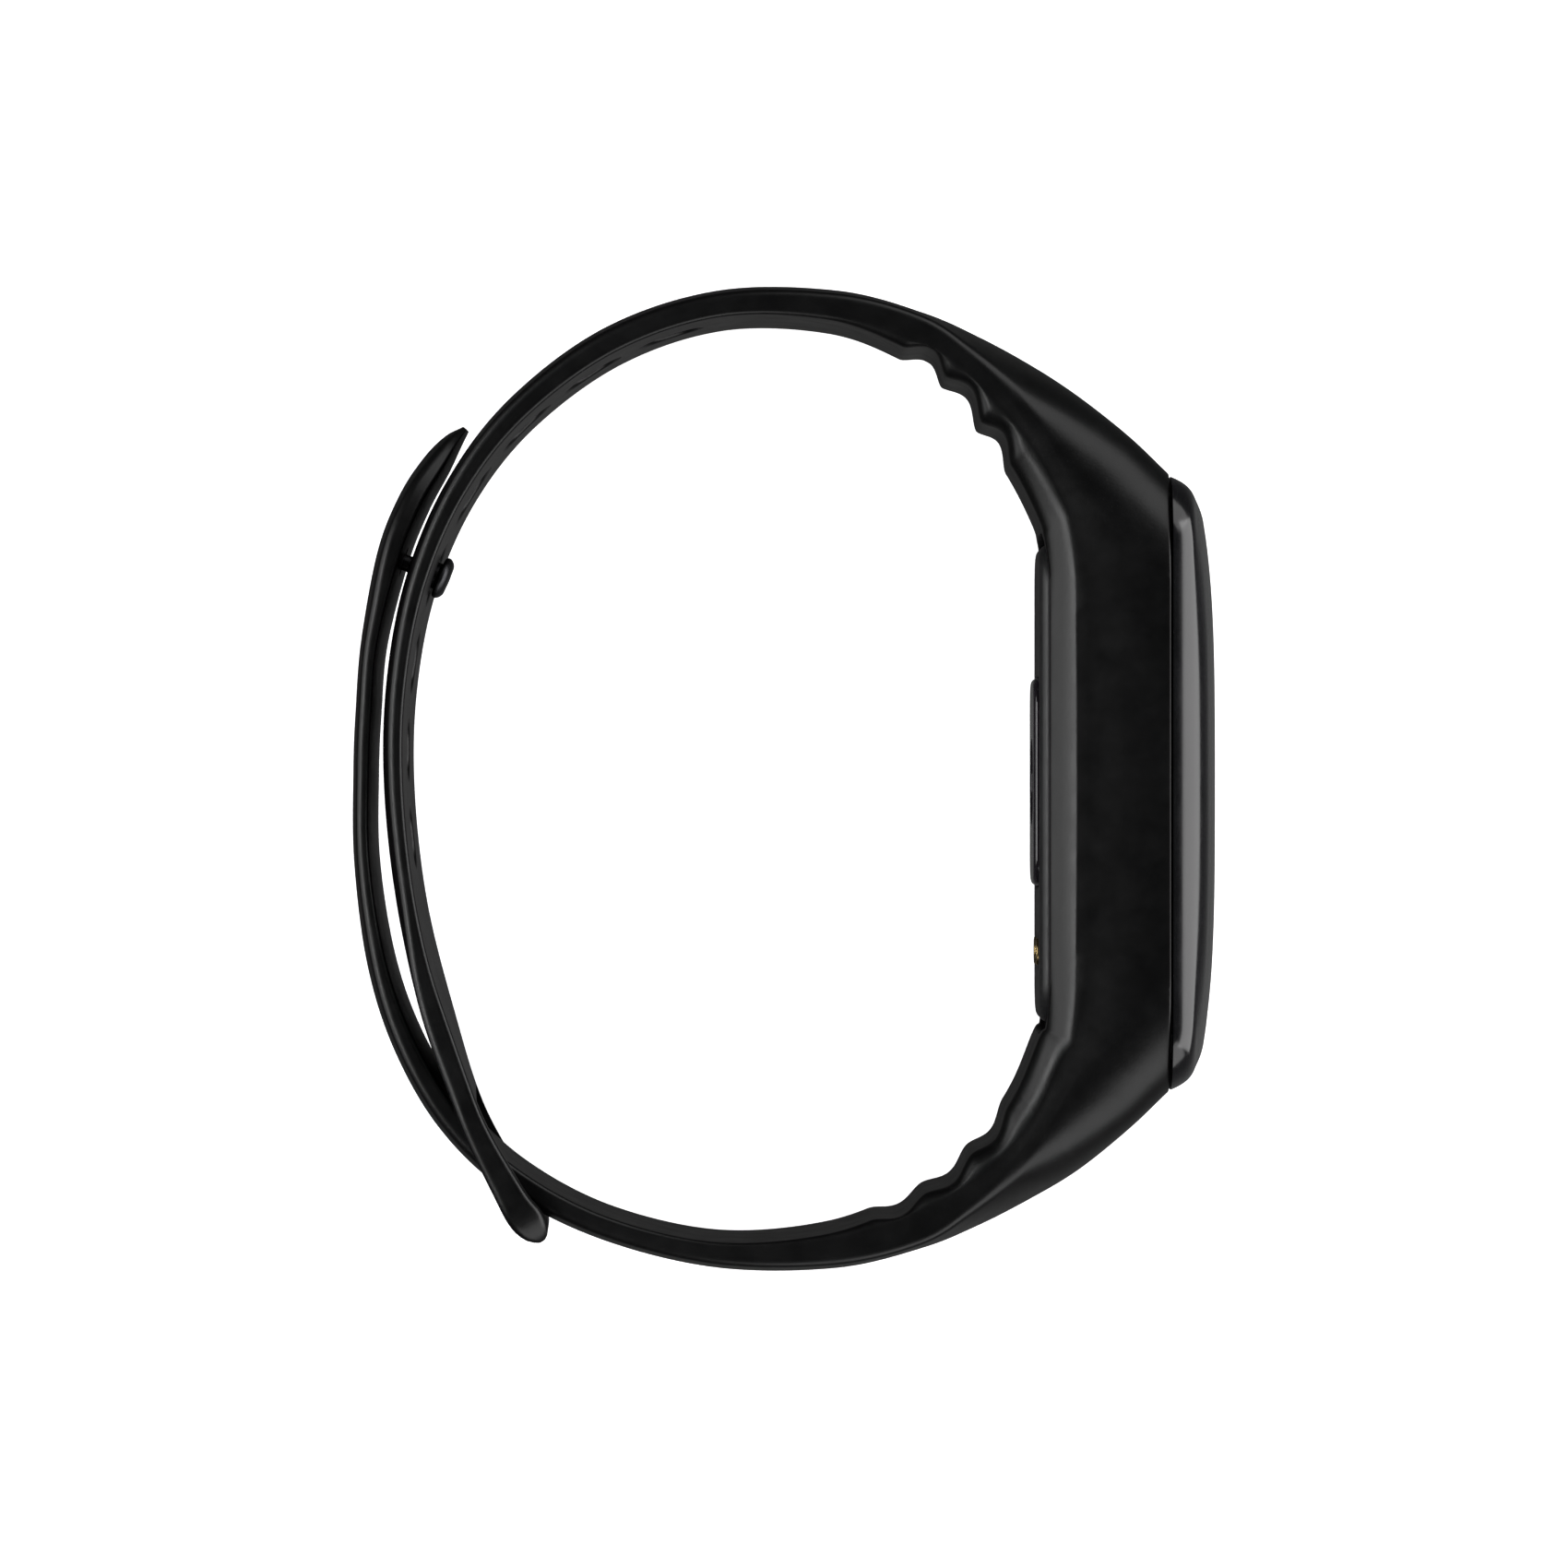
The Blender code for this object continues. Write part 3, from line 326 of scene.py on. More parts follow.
def loft_mesh(name, rings):
    """A solid through rings of equally many points in millimetres."""
    form = bmesh.new()
    rows = skin(form, [[Vector(point) * MM for point in ring] for ring in rings])
    form.faces.new(rows[0])
    form.faces.new(rows[-1])
    bmesh.ops.recalc_face_normals(form, faces=form.faces)
    return form_to_mesh(form, name)


def carve(piece, cutters):
    """Take cutters, given as meshes, out of a piece and keep the result as its mesh."""
    helpers = []
    for mesh in cutters:
        cutter = bpy.data.objects.new(mesh.name, mesh)
        bpy.context.scene.collection.objects.link(cutter)
        boolean = piece.modifiers.new("carve", "BOOLEAN")
        boolean.operation = "DIFFERENCE"
        boolean.solver = "EXACT"
        boolean.object = cutter
        helpers.append(cutter)
    settle(piece)
    for cutter in helpers:
        bpy.data.objects.remove(cutter, do_unlink=True)


def settle(piece):
    """Apply a piece's modifiers."""
    graph = bpy.context.evaluated_depsgraph_get()
    material = piece.data.materials[0]
    mesh = bpy.data.meshes.new_from_object(piece.evaluated_get(graph))
    mesh.name = piece.name
    piece.modifiers.clear()
    piece.data = mesh
    mesh.materials.clear()
    mesh.materials.append(material)
    mesh.polygons.foreach_set("material_index", [0] * len(mesh.polygons))


def weigh_normals(piece):
    """Level faces keep their own normal, and the narrow ones round them take up the turn."""
    piece.data.shade_smooth()
    piece.data.set_sharp_from_angle(angle=SHARP_ANGLE)
    weigh = piece.modifiers.new("normals", "WEIGHTED_NORMAL")
    weigh.keep_sharp = True
    weigh.weight = NORMAL_WEIGHT
    settle(piece)


def through(rows, steps):
    """Rows of numbers joined by a Catmull-Rom curve through every one of them."""
    rows = [np.array(row, float) for row in rows]
    padded = [2 * rows[0] - rows[1], *rows, 2 * rows[-1] - rows[-2]]
    result = []
    for p, q, r, s in zip(padded, padded[1:], padded[2:], padded[3:]):
        for k in range(steps):
            t = k / steps
            result.append(0.5 * (2 * q + (r - p) * t + (2 * p - 5 * q + 4 * r - s) * t ** 2
                                 + (3 * q - p - 3 * r + s) * t ** 3))
    result.append(rows[-1])
    return result


def pill_outline(length, width, corner, count):
    """Points of a rounded rectangle round the origin, evenly spaced along it."""
    path = []
    for turn, (a, b) in enumerate(QUADRANTS):
        for k in range(CORNER_STEPS + 1):
            angle = math.radians(90 * (turn + k / CORNER_STEPS))
            path.append((a * (length / 2 - corner) + corner * math.cos(angle),
                         b * (width / 2 - corner) + corner * math.sin(angle)))
    path.append(path[0])
    path = np.array(path)
    lengths = np.concatenate(([0.0], np.cumsum(np.hypot(*np.diff(path, axis=0).T))))
    marks = np.linspace(0.0, lengths[-1], count, endpoint=False)
    return list(zip(np.interp(marks, lengths, path[:, 0]), np.interp(marks, lengths, path[:, 1])))


def stack(name, levels, centre_y=0.0, count=96):
    """A solid of rounded rectangles across the capsule: x, length, width, corner."""
    rings = []
    for x, length, width, corner in levels:
        outline = pill_outline(length, width, corner, count)
        rings.append([(x, centre_y + a, MID + b) for a, b in outline])
    return loft_mesh(name, rings)


def turned_mesh(name, profile, place, steps=64):
    """A profile of radius and height turned about the local Z of a place."""
    rings = []
    for radius, height in profile:
        ring = []
        for k in range(steps):
            angle = 2 * math.pi * k / steps
            point = place @ Vector((radius * math.cos(angle), radius * math.sin(angle), height))
            ring.append(point)
        rings.append(ring)
    return loft_mesh(name, rings)


def rounded_profile(corners, radius, steps=5):
    """A profile of radius and height with its inner corners rounded."""
    result = [corners[0]]
    for before, corner, after in zip(corners, corners[1:], corners[2:]):
        corner = Vector(corner)
        back = Vector(before) - corner
        ahead = Vector(after) - corner
        reach = min(radius, EDGE_SHARE * back.length, EDGE_SHARE * ahead.length)
        start = corner + back.normalized() * reach
        end = corner + ahead.normalized() * reach
        for k in range(steps + 1):
            t = k / steps
            result.append(tuple((1 - t) ** 2 * start + 2 * t * (1 - t) * corner + t ** 2 * end))
    result.append(corners[-1])
    return result


# ---------------------------------------------------------------- band

def ease(t):
    """A smooth step from 0 to 1."""
    t = min(max(t, 0.0), 1.0)
    return t * t * (3 - 2 * t)


class Section:
    """The band's section: its inner face, rounded inner edges, sides and curved outer flanks.

    Its points are pairs of a distance from the mid plane and a height above the inner face. past is
    how far its outer end already lies inside the shoulder's outline, and slant how fast that distance
    grows towards the inner face. rim rounds the edge of the outer end.
    """

    def __init__(self, row, hollow=0.0, past=0.0, slant=1.0, rim=0.0):
        outer = Vector((row[0], row[1], MID))
        self.inner = Vector((row[2], row[3], MID))
        self.up = (outer - self.inner).normalized()
        self.thick = (outer - self.inner).length
        self.half = min(row[4], MID)
        self.rim = rim
        drop, flat, self.across, self.along, cradle, self.reach = row[6:12]
        if drop < CROWN_LIMIT:
            drop = min(drop, CROWN_SHARE * self.thick)
        self.flat = min(max(flat, 0.0), self.half - SIDE_MARGIN)
        self.cradle = min(max(cradle, 0.0), 1.0)
        self.shape_inner_edge(row[5], hollow)
        self.shape_flank(drop, past, slant)

    def shape_inner_edge(self, soft, hollow):
        """The inner edge goes from a round one to the cradle's chamfer."""
        self.wide = soft + self.cradle * (CHAMFER[0] - soft)
        self.tall = min(soft + self.cradle * (CHAMFER[1] - soft), EDGE_SHARE * self.thick)
        self.power = 2 / (2.0 - CHAMFER_STRAIGHTNESS * self.cradle)
        self.hollow = min(hollow, HOLLOW_SHARE * self.tall)

    def shape_flank(self, drop, past, slant):
        """The flank's end as a share of its curve, its lowest height and the fillet below it."""
        self.last = 1 - past / drop
        self.low = self.thick - (drop - past) / slant
        if self.last <= FLANK_END:
            self.last = FLANK_END
            self.low = self.thick - RIM_EDGE
        z, n = self.flank(self.last)
        spans = (self.thick, self.half, math.hypot(self.half - z, n - self.low))
        self.fillet = min(EDGE_FILLET, *(share * span for share, span in zip(FILLET_LIMITS, spans)))

    def inset(self, n):
        """How far the side stands in at a height."""
        rise = max((n - self.tall) / (self.reach - self.tall), 0.0)
        short = self.cradle * SIDE_INSET * (1 - ease(rise ** INSET_CURVE))
        if self.rim and n > self.thick - self.rim:
            short += self.rim - math.sqrt(max(self.rim ** 2 - (n - self.thick + self.rim) ** 2, 0.0))
        return short

    def flank(self, u):
        """The flank's curve, from its lowest point at 0 to the outer face."""
        z = self.flat + (self.half - self.flat) * max(1 - u ** self.along, 0.0) ** (1 / self.across)
        return z, self.low + (self.thick - self.low) * u / self.last

    def inner_points(self):
        """The inner face and its edge."""
        start = self.half - self.inset(self.tall) - self.wide
        points = [(start * share, self.hollow) for share in INNER_SHARES]
        for k in range(INNER_STEPS + 1):
            t = math.pi / 2 * k / INNER_STEPS
            n = self.tall * (1 - math.cos(t) ** self.power)
            points.append((start + self.wide * math.sin(t) ** self.power,
                           n + self.hollow * (1 - n / self.tall)))
        return points

    def side_points(self):
        """The side, up to the fillet below the flank."""
        span = self.low - self.fillet - self.tall
        heights = [self.tall + span * k / SIDE_STEPS for k in range(1, SIDE_STEPS + 1)]
        return [(self.half - self.inset(n), n) for n in heights]

    def fillet_end(self):
        """The share of the flank at which the fillet ends, found by halving."""
        low, high = 0.0, 1.0
        for _ in range(20):
            share = (low + high) / 2
            z, n = self.flank(self.last * share)
            if math.hypot(self.half - z, n - self.low) < self.fillet:
                low = share
            else:
                high = share
        return low

    def fillet_points(self, share):
        """The fillet, as a curve from the side to the flank."""
        z, n = self.flank(self.last * share)
        begin = (self.half - self.inset(self.low - self.fillet), self.low - self.fillet)
        corner = (self.half - self.inset(self.low), self.low)
        end = (z - self.inset(n), n)
        return [tuple((1 - t) ** 2 * p + 2 * t * (1 - t) * q + t ** 2 * r
                      for p, q, r in zip(begin, corner, end)) for t in (0.25, 0.5, 0.75)]

    def flank_points(self, share):
        """The flank from the fillet to the outer face."""
        points = []
        first = math.asin(min(share, 1.0) ** (self.along / 2))
        for k in range(FLANK_STEPS + 1):
            turn = first + (math.pi / 2 - first) * k / FLANK_STEPS
            z, n = self.flank(self.last * math.sin(turn) ** (2 / self.along))
            points.append((max(z - self.inset(n), CROWN_TIP), n))
        points.append((points[-1][0] * 0.5, self.thick))
        return points

    def ring(self):
        """The section's points in space, all the way round."""
        share = self.fillet_end()
        side = self.inner_points() + self.side_points()
        side += self.fillet_points(share) + self.flank_points(share)
        profile = [(0.0, self.hollow), *side, (0.0, self.thick), *((-z, n) for z, n in reversed(side))]
        return [self.inner + self.up * n + Vector((0, 0, z)) for z, n in profile]


def shouldered(strap, sign):
    """A strap's rows carried on over its root to the cradle's rim, with their shoulder values."""
    rim_y = RIM_TOP if sign > 0 else RIM_BOTTOM
    inward = TOP_INWARD if sign > 0 else BOTTOM_INWARD
    back = CRADLE_FOLD[-1 if sign > 0 else 0][1]
    x, past, inner_x, inner_y, *widths = SHOULDER_ROW
    rows = [
        (RIM_X, rim_y, INNER_X - inward, back, *CRADLE_END[:2]),
        (x, rim_y + past * sign, inner_x, inner_y * sign, *widths),
        *strap]
    extras = [*SHOULDER, *(STRAP_CROWN,) * (len(rows) - len(SHOULDER))]
    if sign > 0:
        extras[-LOOP_ROWS:] = [LOOP_CROWN] * LOOP_ROWS
    return [(*row, *extra) for row, extra in zip(rows, extras)]


def strap_sections(strap, sign, scallops):
    """Sections from the cradle's rim to a strap's end, and how far each is from the strap's root."""
    table = np.array(through(shouldered(strap, sign), STRAP_STEPS))
    lengths = np.concatenate(([0.0], np.cumsum(np.hypot(*np.diff(table[:, 2:4], axis=0).T))))
    root = 2 * STRAP_STEPS
    lengths -= lengths[root]
    crests, depth, breadth = scallops
    marks = list(np.arange(0.0, lengths[-1], RING_STEP))
    marks = [m for m in marks if not crests[0] - FINE_STEP < m < crests[-1] + FINE_STEP]
    for near, far in zip(crests, crests[1:]):
        marks += list(np.linspace(near, far, round((far - near) / FINE_STEP), endpoint=False))
    marks.append(crests[-1])
    marks += list(lengths[:root:SHOULDER_STRIDE])
    marks += list(lengths[-END_SAMPLES::END_STRIDE]) + [lengths[-1]]
    result = []
    previous = None
    for mark in sorted(marks):
        if previous is not None and mark - previous < RING_GAP:
            continue
        previous = mark
        row = [float(np.interp(mark, lengths, table[:, c])) for c in range(table.shape[1])]
        phase = np.interp(mark, crests, range(len(crests)))
        hollow = depth * (math.sin(math.pi * phase) ** 2) ** breadth
        ring = Section(row, hollow).ring()
        if sign > 0:
            ring = leaning(ring, row)
        result.append((mark, ring))
    return result


def leaning(ring, row):
    """The loop's section, turned a little so that its upper edge is nearer the wrist."""
    share = ease((LOOP_START - row[1]) / LOOP_LEAN)
    inward = Vector((row[2] - row[0], row[3] - row[1], 0.0)).normalized()
    return [point + inward * LOOP_TWIST * share * point.z / (2 * MID) for point in ring]


def cradle_sections():
    """Sections of the cradle from its lower rim end to its upper one."""
    corner_rings, straight_rings = RIM_RINGS
    turns = [math.pi / 2 * k / corner_rings for k in range(2, corner_rings + 1)]
    steps = [CORNER_REACH * (1 - math.cos(turn)) for turn in turns]
    places = [RIM_BOTTOM + step for step in steps]
    places += list(np.linspace(places[-1], RIM_TOP - steps[-1], straight_rings))[1:-1]
    places += [RIM_TOP - step for step in reversed(steps)]
    outline = Vector(SHOULDER_NORMAL).normalized()
    rings = []
    for y in places:
        away = RIM_TOP - y if y > 0 else y - RIM_BOTTOM
        back = float(np.interp(y, *zip(*CRADLE_FOLD)))
        share = math.sin(math.pi / 2 * min(away / CORNER_REACH, 1.0))
        inward = (TOP_INWARD if y > 0 else BOTTOM_INWARD) * (1 - share) ** INWARD_CURVE
        up = Vector((RIM_X - INNER_X + inward, y - back)).normalized()
        slant = up.x * outline.x + abs(up.y) * outline.y
        shape = [end + gain * share for end, gain in zip(CRADLE_END, CRADLE_GAIN)]
        row = (RIM_X, y, INNER_X - inward, back, *shape)
        rim = RIM_FILLET * min(away / RIM_FADE, 1.0)
        rings.append(Section(row, 0.0, outline.y * away, slant, rim).ring())
    return rings


def hole_place(mids, target):
    """The index of the mid line's sample at a given length from the stud's hole."""
    stud = Vector(STUD_AT) - STUD_AXIS.xy * STUD_TO_MID
    index = min(range(len(mids)), key=lambda i: (mids[i] - stud).length)
    step = 1 if target > 0 else -1
    left = abs(target)
    while left > 0:
        left -= (mids[index + step] - mids[index]).length
        index += step
    return index


def hole_cutter(samples, target):
    """A flared oblong punch across the strap, at a given length from the stud's hole."""
    mids = [Vector(((r[0] + r[2]) / 2, (r[1] + r[3]) / 2)) for r in samples]
    index = hole_place(mids, target)
    ahead = (mids[index + 1] - mids[index - 1]).normalized()
    out = Vector((ahead.y, -ahead.x))
    row = samples[index]
    face = math.hypot(row[0] - row[2], row[1] - row[3]) / 2
    levels = [(face - depth, grow) for depth, grow in HOLE_FLARE] + [(PUNCH_REACH, HOLE_FLARE[-1][1])]
    levels = [(-height, grow) for height, grow in reversed(levels)] + levels
    rings = []
    for height, grow in levels:
        length, width = (size + 2 * grow for size in HOLE_SIZE)
        ring = []
        for a, b in pill_outline(length, width, width / 2 - PILL_FLAT, HOLE_POINTS):
            spot = mids[index] + ahead * a + out * height
            ring.append((spot.x, spot.y, MID + b))
        rings.append(ring)
    return loft_mesh("hole_cutter", rings)


def slot_cutter():
    """The opening between the loop's two rails, with rounded ends."""
    half = MID - LOOP_RAIL
    centre = Vector(SLOT_CENTRE)
    levels = [(half - inward, shrink) for inward, shrink in SLOT_ENDS]
    levels = [(-z, shrink) for z, shrink in reversed(levels)] + levels
    rings = []
    for z, shrink in levels:
        spots = [centre + (Vector(corner) - centre) * (1 - shrink) for corner in SLOT_CORNERS]
        rings.append([(spot.x, spot.y, MID + z) for spot in spots])
    return loft_mesh("slot_cutter", rings)


def make_band(rubber):
    """The cradle with the upper strap, and the lower strap with its tongue as a separate piece."""
    upper = strap_sections(UPPER_STRAP, 1, UPPER_SCALLOPS)
    lower = strap_sections(LOWER_STRAP, -1, LOWER_SCALLOPS)
    root = [ring for mark, ring in lower if mark <= 0]
    strap = [ring for mark, ring in lower if mark > 0]
    rings = root[::-1] + cradle_sections() + [ring for _, ring in upper]
    body = add_piece("band_upper", loft_mesh("band_upper", rings), rubber)
    samples = through([row[:6] for row in UPPER_STRAP], STRAP_STEPS)
    cutters = [stack("seat_cutter", SEAT, SEAT_Y), stack("back_cutter", OPENING, SEAT_Y), slot_cutter()]
    cutters += [hole_cutter(samples, number * HOLE_PITCH) for number in HOLES]
    carve(body, cutters)
    weigh_normals(body)
    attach(body, "band")
    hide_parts("strap_cradle", "upper_strap")

    free = add_piece("band_lower", loft_mesh("band_lower", [root[-1]] + strap), rubber)
    bore = turned_mesh("bore_cutter", STUD_BORE, stud_place())
    carve(free, [pill_mesh("pocket_cutter", POCKET), bore])
    weigh_normals(free)
    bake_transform(free)
    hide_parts("lower_strap", "strap_tongue")


# ---------------------------------------------------------------- clasp

def stud_place():
    """The stud's frame in millimetres: local Z points outward through the straps."""
    out = -STUD_AXIS
    across = Vector((0, 0, 1))
    along = across.cross(out)
    return Matrix((
        (along.x, across.x, out.x, STUD_AT[0]),
        (along.y, across.y, out.y, STUD_AT[1]),
        (along.z, across.z, out.z, MID),
        (0, 0, 0, 1)))


def pill_mesh(name, levels):
    """The clasp's pill shape through levels of height and how far its outline is drawn in."""
    place = stud_place()
    rings = []
    for height, shrink in levels:
        length, width = (size - 2 * shrink for size in PLATE_SIZE)
        outline = pill_outline(length, width, width / 2 - PILL_FLAT, PLATE_POINTS)
        rings.append([place @ Vector((PLATE_CENTRE + a, b, height)) for a, b in outline])
    return loft_mesh(name, rings)


def make_clasp(metal):
    """Stud and plate of the snap, in one dark plated metal."""
    plate = add_piece("clasp_plate_pill", pill_mesh("clasp_plate_pill", PLATE), metal)
    weigh_normals(plate)
    profile = rounded_profile(STUD_PROFILE, STUD_ROUNDING)
    stud = add_piece("clasp_stud_turned", turned_mesh("clasp_stud_turned", profile, stud_place()), metal)
    for piece, node in ((plate, "clasp_plate"), (stud, "clasp_stud")):
        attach(piece, "tongue")
        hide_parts(node)


# ---------------------------------------------------------------- capsule

def cap_outline(half_y, half_z, corner_y, corner_z):
    """A rectangle with elliptical corners, with its points in step from level to level."""
    corners = []
    for turn, (a, b) in enumerate(QUADRANTS):
        corner = []
        for k in range(CAP_POINTS[0] + 1):
            angle = math.radians(90 * (turn + k / CAP_POINTS[0]))
            corner.append((a * (half_y - corner_y) + corner_y * math.cos(angle),
                           b * (half_z - corner_z) + corner_z * math.sin(angle)))
        corners.append(corner)
    outline = []
    for turn, corner in enumerate(corners):
        outline += corner
        start = Vector(corner[-1])
        end = Vector(corners[(turn + 1) % 4][0])
        count = CAP_POINTS[1 + turn % 2]
        outline += [tuple(start.lerp(end, k / count)) for k in range(1, count)]
    return outline


def cap_front(a, b, rise):
    """A point of the cap's front: rise is 0 at its base and 1 on the crown."""
    square, fourth, across = CAP_CROWN
    crown = CAP_HEIGHT - square * a ** 2 - fourth * a ** 4 - across * b ** 2
    away = math.hypot(CAP_MIDDLE + a - DISH[0], b) / DISH[1]
    dish = DISH[2] * (1 - away ** 2) ** 2 if away < 1 else 0.0
    height = CAP_EDGE + (crown - CAP_EDGE) * rise ** CAP_BLEND
    return CAP_BASE + rise * height - dish, CAP_MIDDLE + a, MID + b


def make_cap(gloss):
    """The glossy front, crowned both ways, with a shallow dish as its touch area."""
    length, width = CAP_HALF
    in_y, in_z = CAP_ROUNDING
    edge = (length - in_y, width - in_z, CAP_EDGE_CORNER, CAP_CORNER - in_z)
    rings = []
    for scale in np.linspace(CAP_FLAT, 1.0, CAP_RINGS[0]):
        outline = cap_outline(*(scale * value for value in edge))
        rings.append([cap_front(a, b, 1.0) for a, b in outline])
    for k in range(1, CAP_RINGS[1] + 1):
        u = (1 - k / CAP_RINGS[1]) ** CAP_SPACING
        rise = (1 - (1 - u) ** CAP_ROUND[0]) ** CAP_ROUND[1]
        outline = cap_outline(length - u * in_y, width - u * in_z,
                              CAP_CORNER - u * (CAP_CORNER - CAP_EDGE_CORNER), CAP_CORNER - u * in_z)
        rings.append([cap_front(a, b, rise) for a, b in outline])
    for level, shrink, corner in CAP_HOLLOW:
        outline = cap_outline(length - shrink, width - shrink, corner, corner)
        rings.append([(level, CAP_MIDDLE + a, MID + b) for a, b in outline])
    cap = add_piece("capsule_cap", loft_mesh("capsule_cap", rings), gloss)
    weigh_normals(cap)
    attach(cap, "capsule")
    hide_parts("front_cap")


def edged(size, places, rounding, steps=5):
    """Levels from a face with a rounded edge to the form's end: x, length, width, corner."""
    length, width, corner = size
    face, rounded, end = places
    levels = []
    for k in range(steps + 1):
        turn = math.pi / 2 * k / steps
        inset = rounding * (1 - math.sin(turn))
        levels.append((face + (rounded - face) * (1 - math.cos(turn)), length - 2 * inset,
                       width - 2 * inset, max(corner - inset, LEAST_CORNER)))
    return [*levels, (end, *size)]


def make_case(plastic):
    """The stepped tub of the capsule, with the window's aperture and the contact holes."""
    levels = edged(TUB_BACK, TUB_BACK_X, TUB_ROUNDING[0])
    levels += edged(TUB_FRONT, TUB_FRONT_X, TUB_ROUNDING[1], 3)
    tub = stack("capsule_tub", [*levels, *TUB_HOLLOW], SEAT_Y, TUB_POINTS)
    case = add_piece("capsule_tub", tub, plastic)
    cutters = [stack("window_cutter", APERTURE, WINDOW_Y)]
    for side in (-1, 1):
        cutters.append(turned_mesh("contact_cutter", CONTACT_BORE, contact_place(side)))
    carve(case, cutters)
    weigh_normals(case)
    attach(case, "capsule")
    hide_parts("back_case")


def contact_place(side):
    """The frame of a contact: local Z points from the wrist into the capsule."""
    return Matrix.Translation((0, CONTACT_Y, MID + side * CONTACT_Z)) @ ACROSS


def make_back_parts(tint, gold):
    """Sensor window with its round lens, and the two charging contacts."""
    levels = edged(WINDOW, WINDOW_X, WINDOW_ROUNDING, 6)
    window = add_piece("pulse_window", stack("pulse_window", levels, WINDOW_Y), tint)
    lens_place = Matrix.Translation((0, WINDOW_Y, MID)) @ ACROSS
    carve(window, [turned_mesh("lens_cutter", LENS, lens_place)])
    weigh_normals(window)
    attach(window, "capsule")
    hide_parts("sensor_window")
    for number, side in enumerate((-1, 1)):
        profile = rounded_profile(CONTACT_PAD, CONTACT_ROUNDING)
        name = "contact_pad_%d" % (number + 1)
        pad = add_piece(name, turned_mesh(name, profile, contact_place(side), CONTACT_POINTS), gold)
        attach(pad, "capsule")
        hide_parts("charge_contact_%d" % (number + 1))


# ---------------------------------------------------------------- materials

class Graph:
    """A Principled material with the texture nodes that drive it."""

    def __init__(self, name, roughness, metallic=0.0, specular=0.5, coat=0.0, coat_roughness=0.05):
        self.material = bpy.data.materials.new(name)
        self.material.use_nodes = True
        self.nodes = self.material.node_tree.nodes
        self.links = self.material.node_tree.links
        self.shader = self.nodes["Principled BSDF"]
        self.shader.inputs["Roughness"].default_value = roughness
        self.shader.inputs["Metallic"].default_value = metallic
        self.shader.inputs["Specular IOR Level"].default_value = specular
        self.shader.inputs["Coat Weight"].default_value = coat
        self.shader.inputs["Coat Roughness"].default_value = coat_roughness
        self.place = self.nodes.new("ShaderNodeTexCoord").outputs["Object"]

    def noise(self, scale, detail=4.0, roughness=0.6, stretch=None):
        """Noise in metres of the object, optionally stretched."""
        texture = self.nodes.new("ShaderNodeTexNoise")
        texture.inputs["Scale"].default_value = scale
        texture.inputs["Detail"].default_value = detail
        texture.inputs["Roughness"].default_value = roughness
        source = self.place
        if stretch:
            mapping = self.nodes.new("ShaderNodeMapping")
            mapping.inputs["Scale"].default_value = stretch
            self.links.new(self.place, mapping.inputs["Vector"])
            source = mapping.outputs["Vector"]
        self.links.new(source, texture.inputs["Vector"])
        return texture.outputs["Fac"]

    def cells(self, scale):
        """Small rounded cells, such as a moulded grain."""
        texture = self.nodes.new("ShaderNodeTexVoronoi")
        texture.inputs["Scale"].default_value = scale
        self.links.new(self.place, texture.inputs["Vector"])
        return texture.outputs["Distance"]

    def ramp(self, source, *stops):
        """Colours or values along a source."""
        ramp = self.nodes.new("ShaderNodeValToRGB")
        elements = ramp.color_ramp.elements
        while len(elements) < len(stops):
            elements.new(0.5)
        for element, (at, colour) in zip(elements, stops):
            element.position = at
            rgb = colour if isinstance(colour, tuple) else (colour, colour, colour)
            element.color = (*rgb, 1.0)
        self.links.new(source, ramp.inputs["Fac"])
        return ramp.outputs["Color"]

    def to(self, source, socket):
        """Link a source to one of the shader's inputs."""
        self.links.new(source, self.shader.inputs[socket])

    def bump(self, *layers):
        """Bump from pairs of a height source and its depth in metres."""
        normal = None
        for source, depth in layers:
            bump = self.nodes.new("ShaderNodeBump")
            bump.inputs["Strength"].default_value = 1.0
            bump.inputs["Distance"].default_value = depth
            self.links.new(source, bump.inputs["Height"])
            if normal:
                self.links.new(normal, bump.inputs["Normal"])
            normal = bump.outputs["Normal"]
        self.to(normal, "Normal")


def rubber_material():
    """Matt black elastomer with a fine spark-eroded grain and faint handling marks."""
    g = Graph("band_rubber_look", 0.5, specular=0.5)
    grain = g.noise(5200, 3, 0.55)
    marks = g.noise(170, 5, 0.6)
    g.to(g.ramp(marks, (0.3, (0.0012, 0.0012, 0.0013)), (0.7, (0.0022, 0.0022, 0.0024))), "Base Color")
    g.to(g.ramp(g.noise(420, 6, 0.65), (0.3, 0.30), (0.7, 0.39)), "Roughness")
    g.bump((grain, 0.0000045), (g.noise(900, 2), 0.000006))
    return g.material


def gloss_material():
    """Polished black front with hairline wear in its shine."""
    g = Graph("cap_gloss_look", 0.19, specular=0.6, coat=0.4, coat_roughness=0.13)
    wear = g.noise(900, 6, 0.7, (1.0, 0.25, 1.0))
    g.to(g.ramp(wear, (0.45, 0.16), (0.75, 0.23)), "Roughness")
    g.to(g.ramp(g.noise(260, 3), (0.3, (0.0035, 0.0035, 0.004)), (0.7, (0.006, 0.006, 0.007))),
         "Base Color")
    g.bump((g.noise(140, 2), 0.0000008))
    return g.material


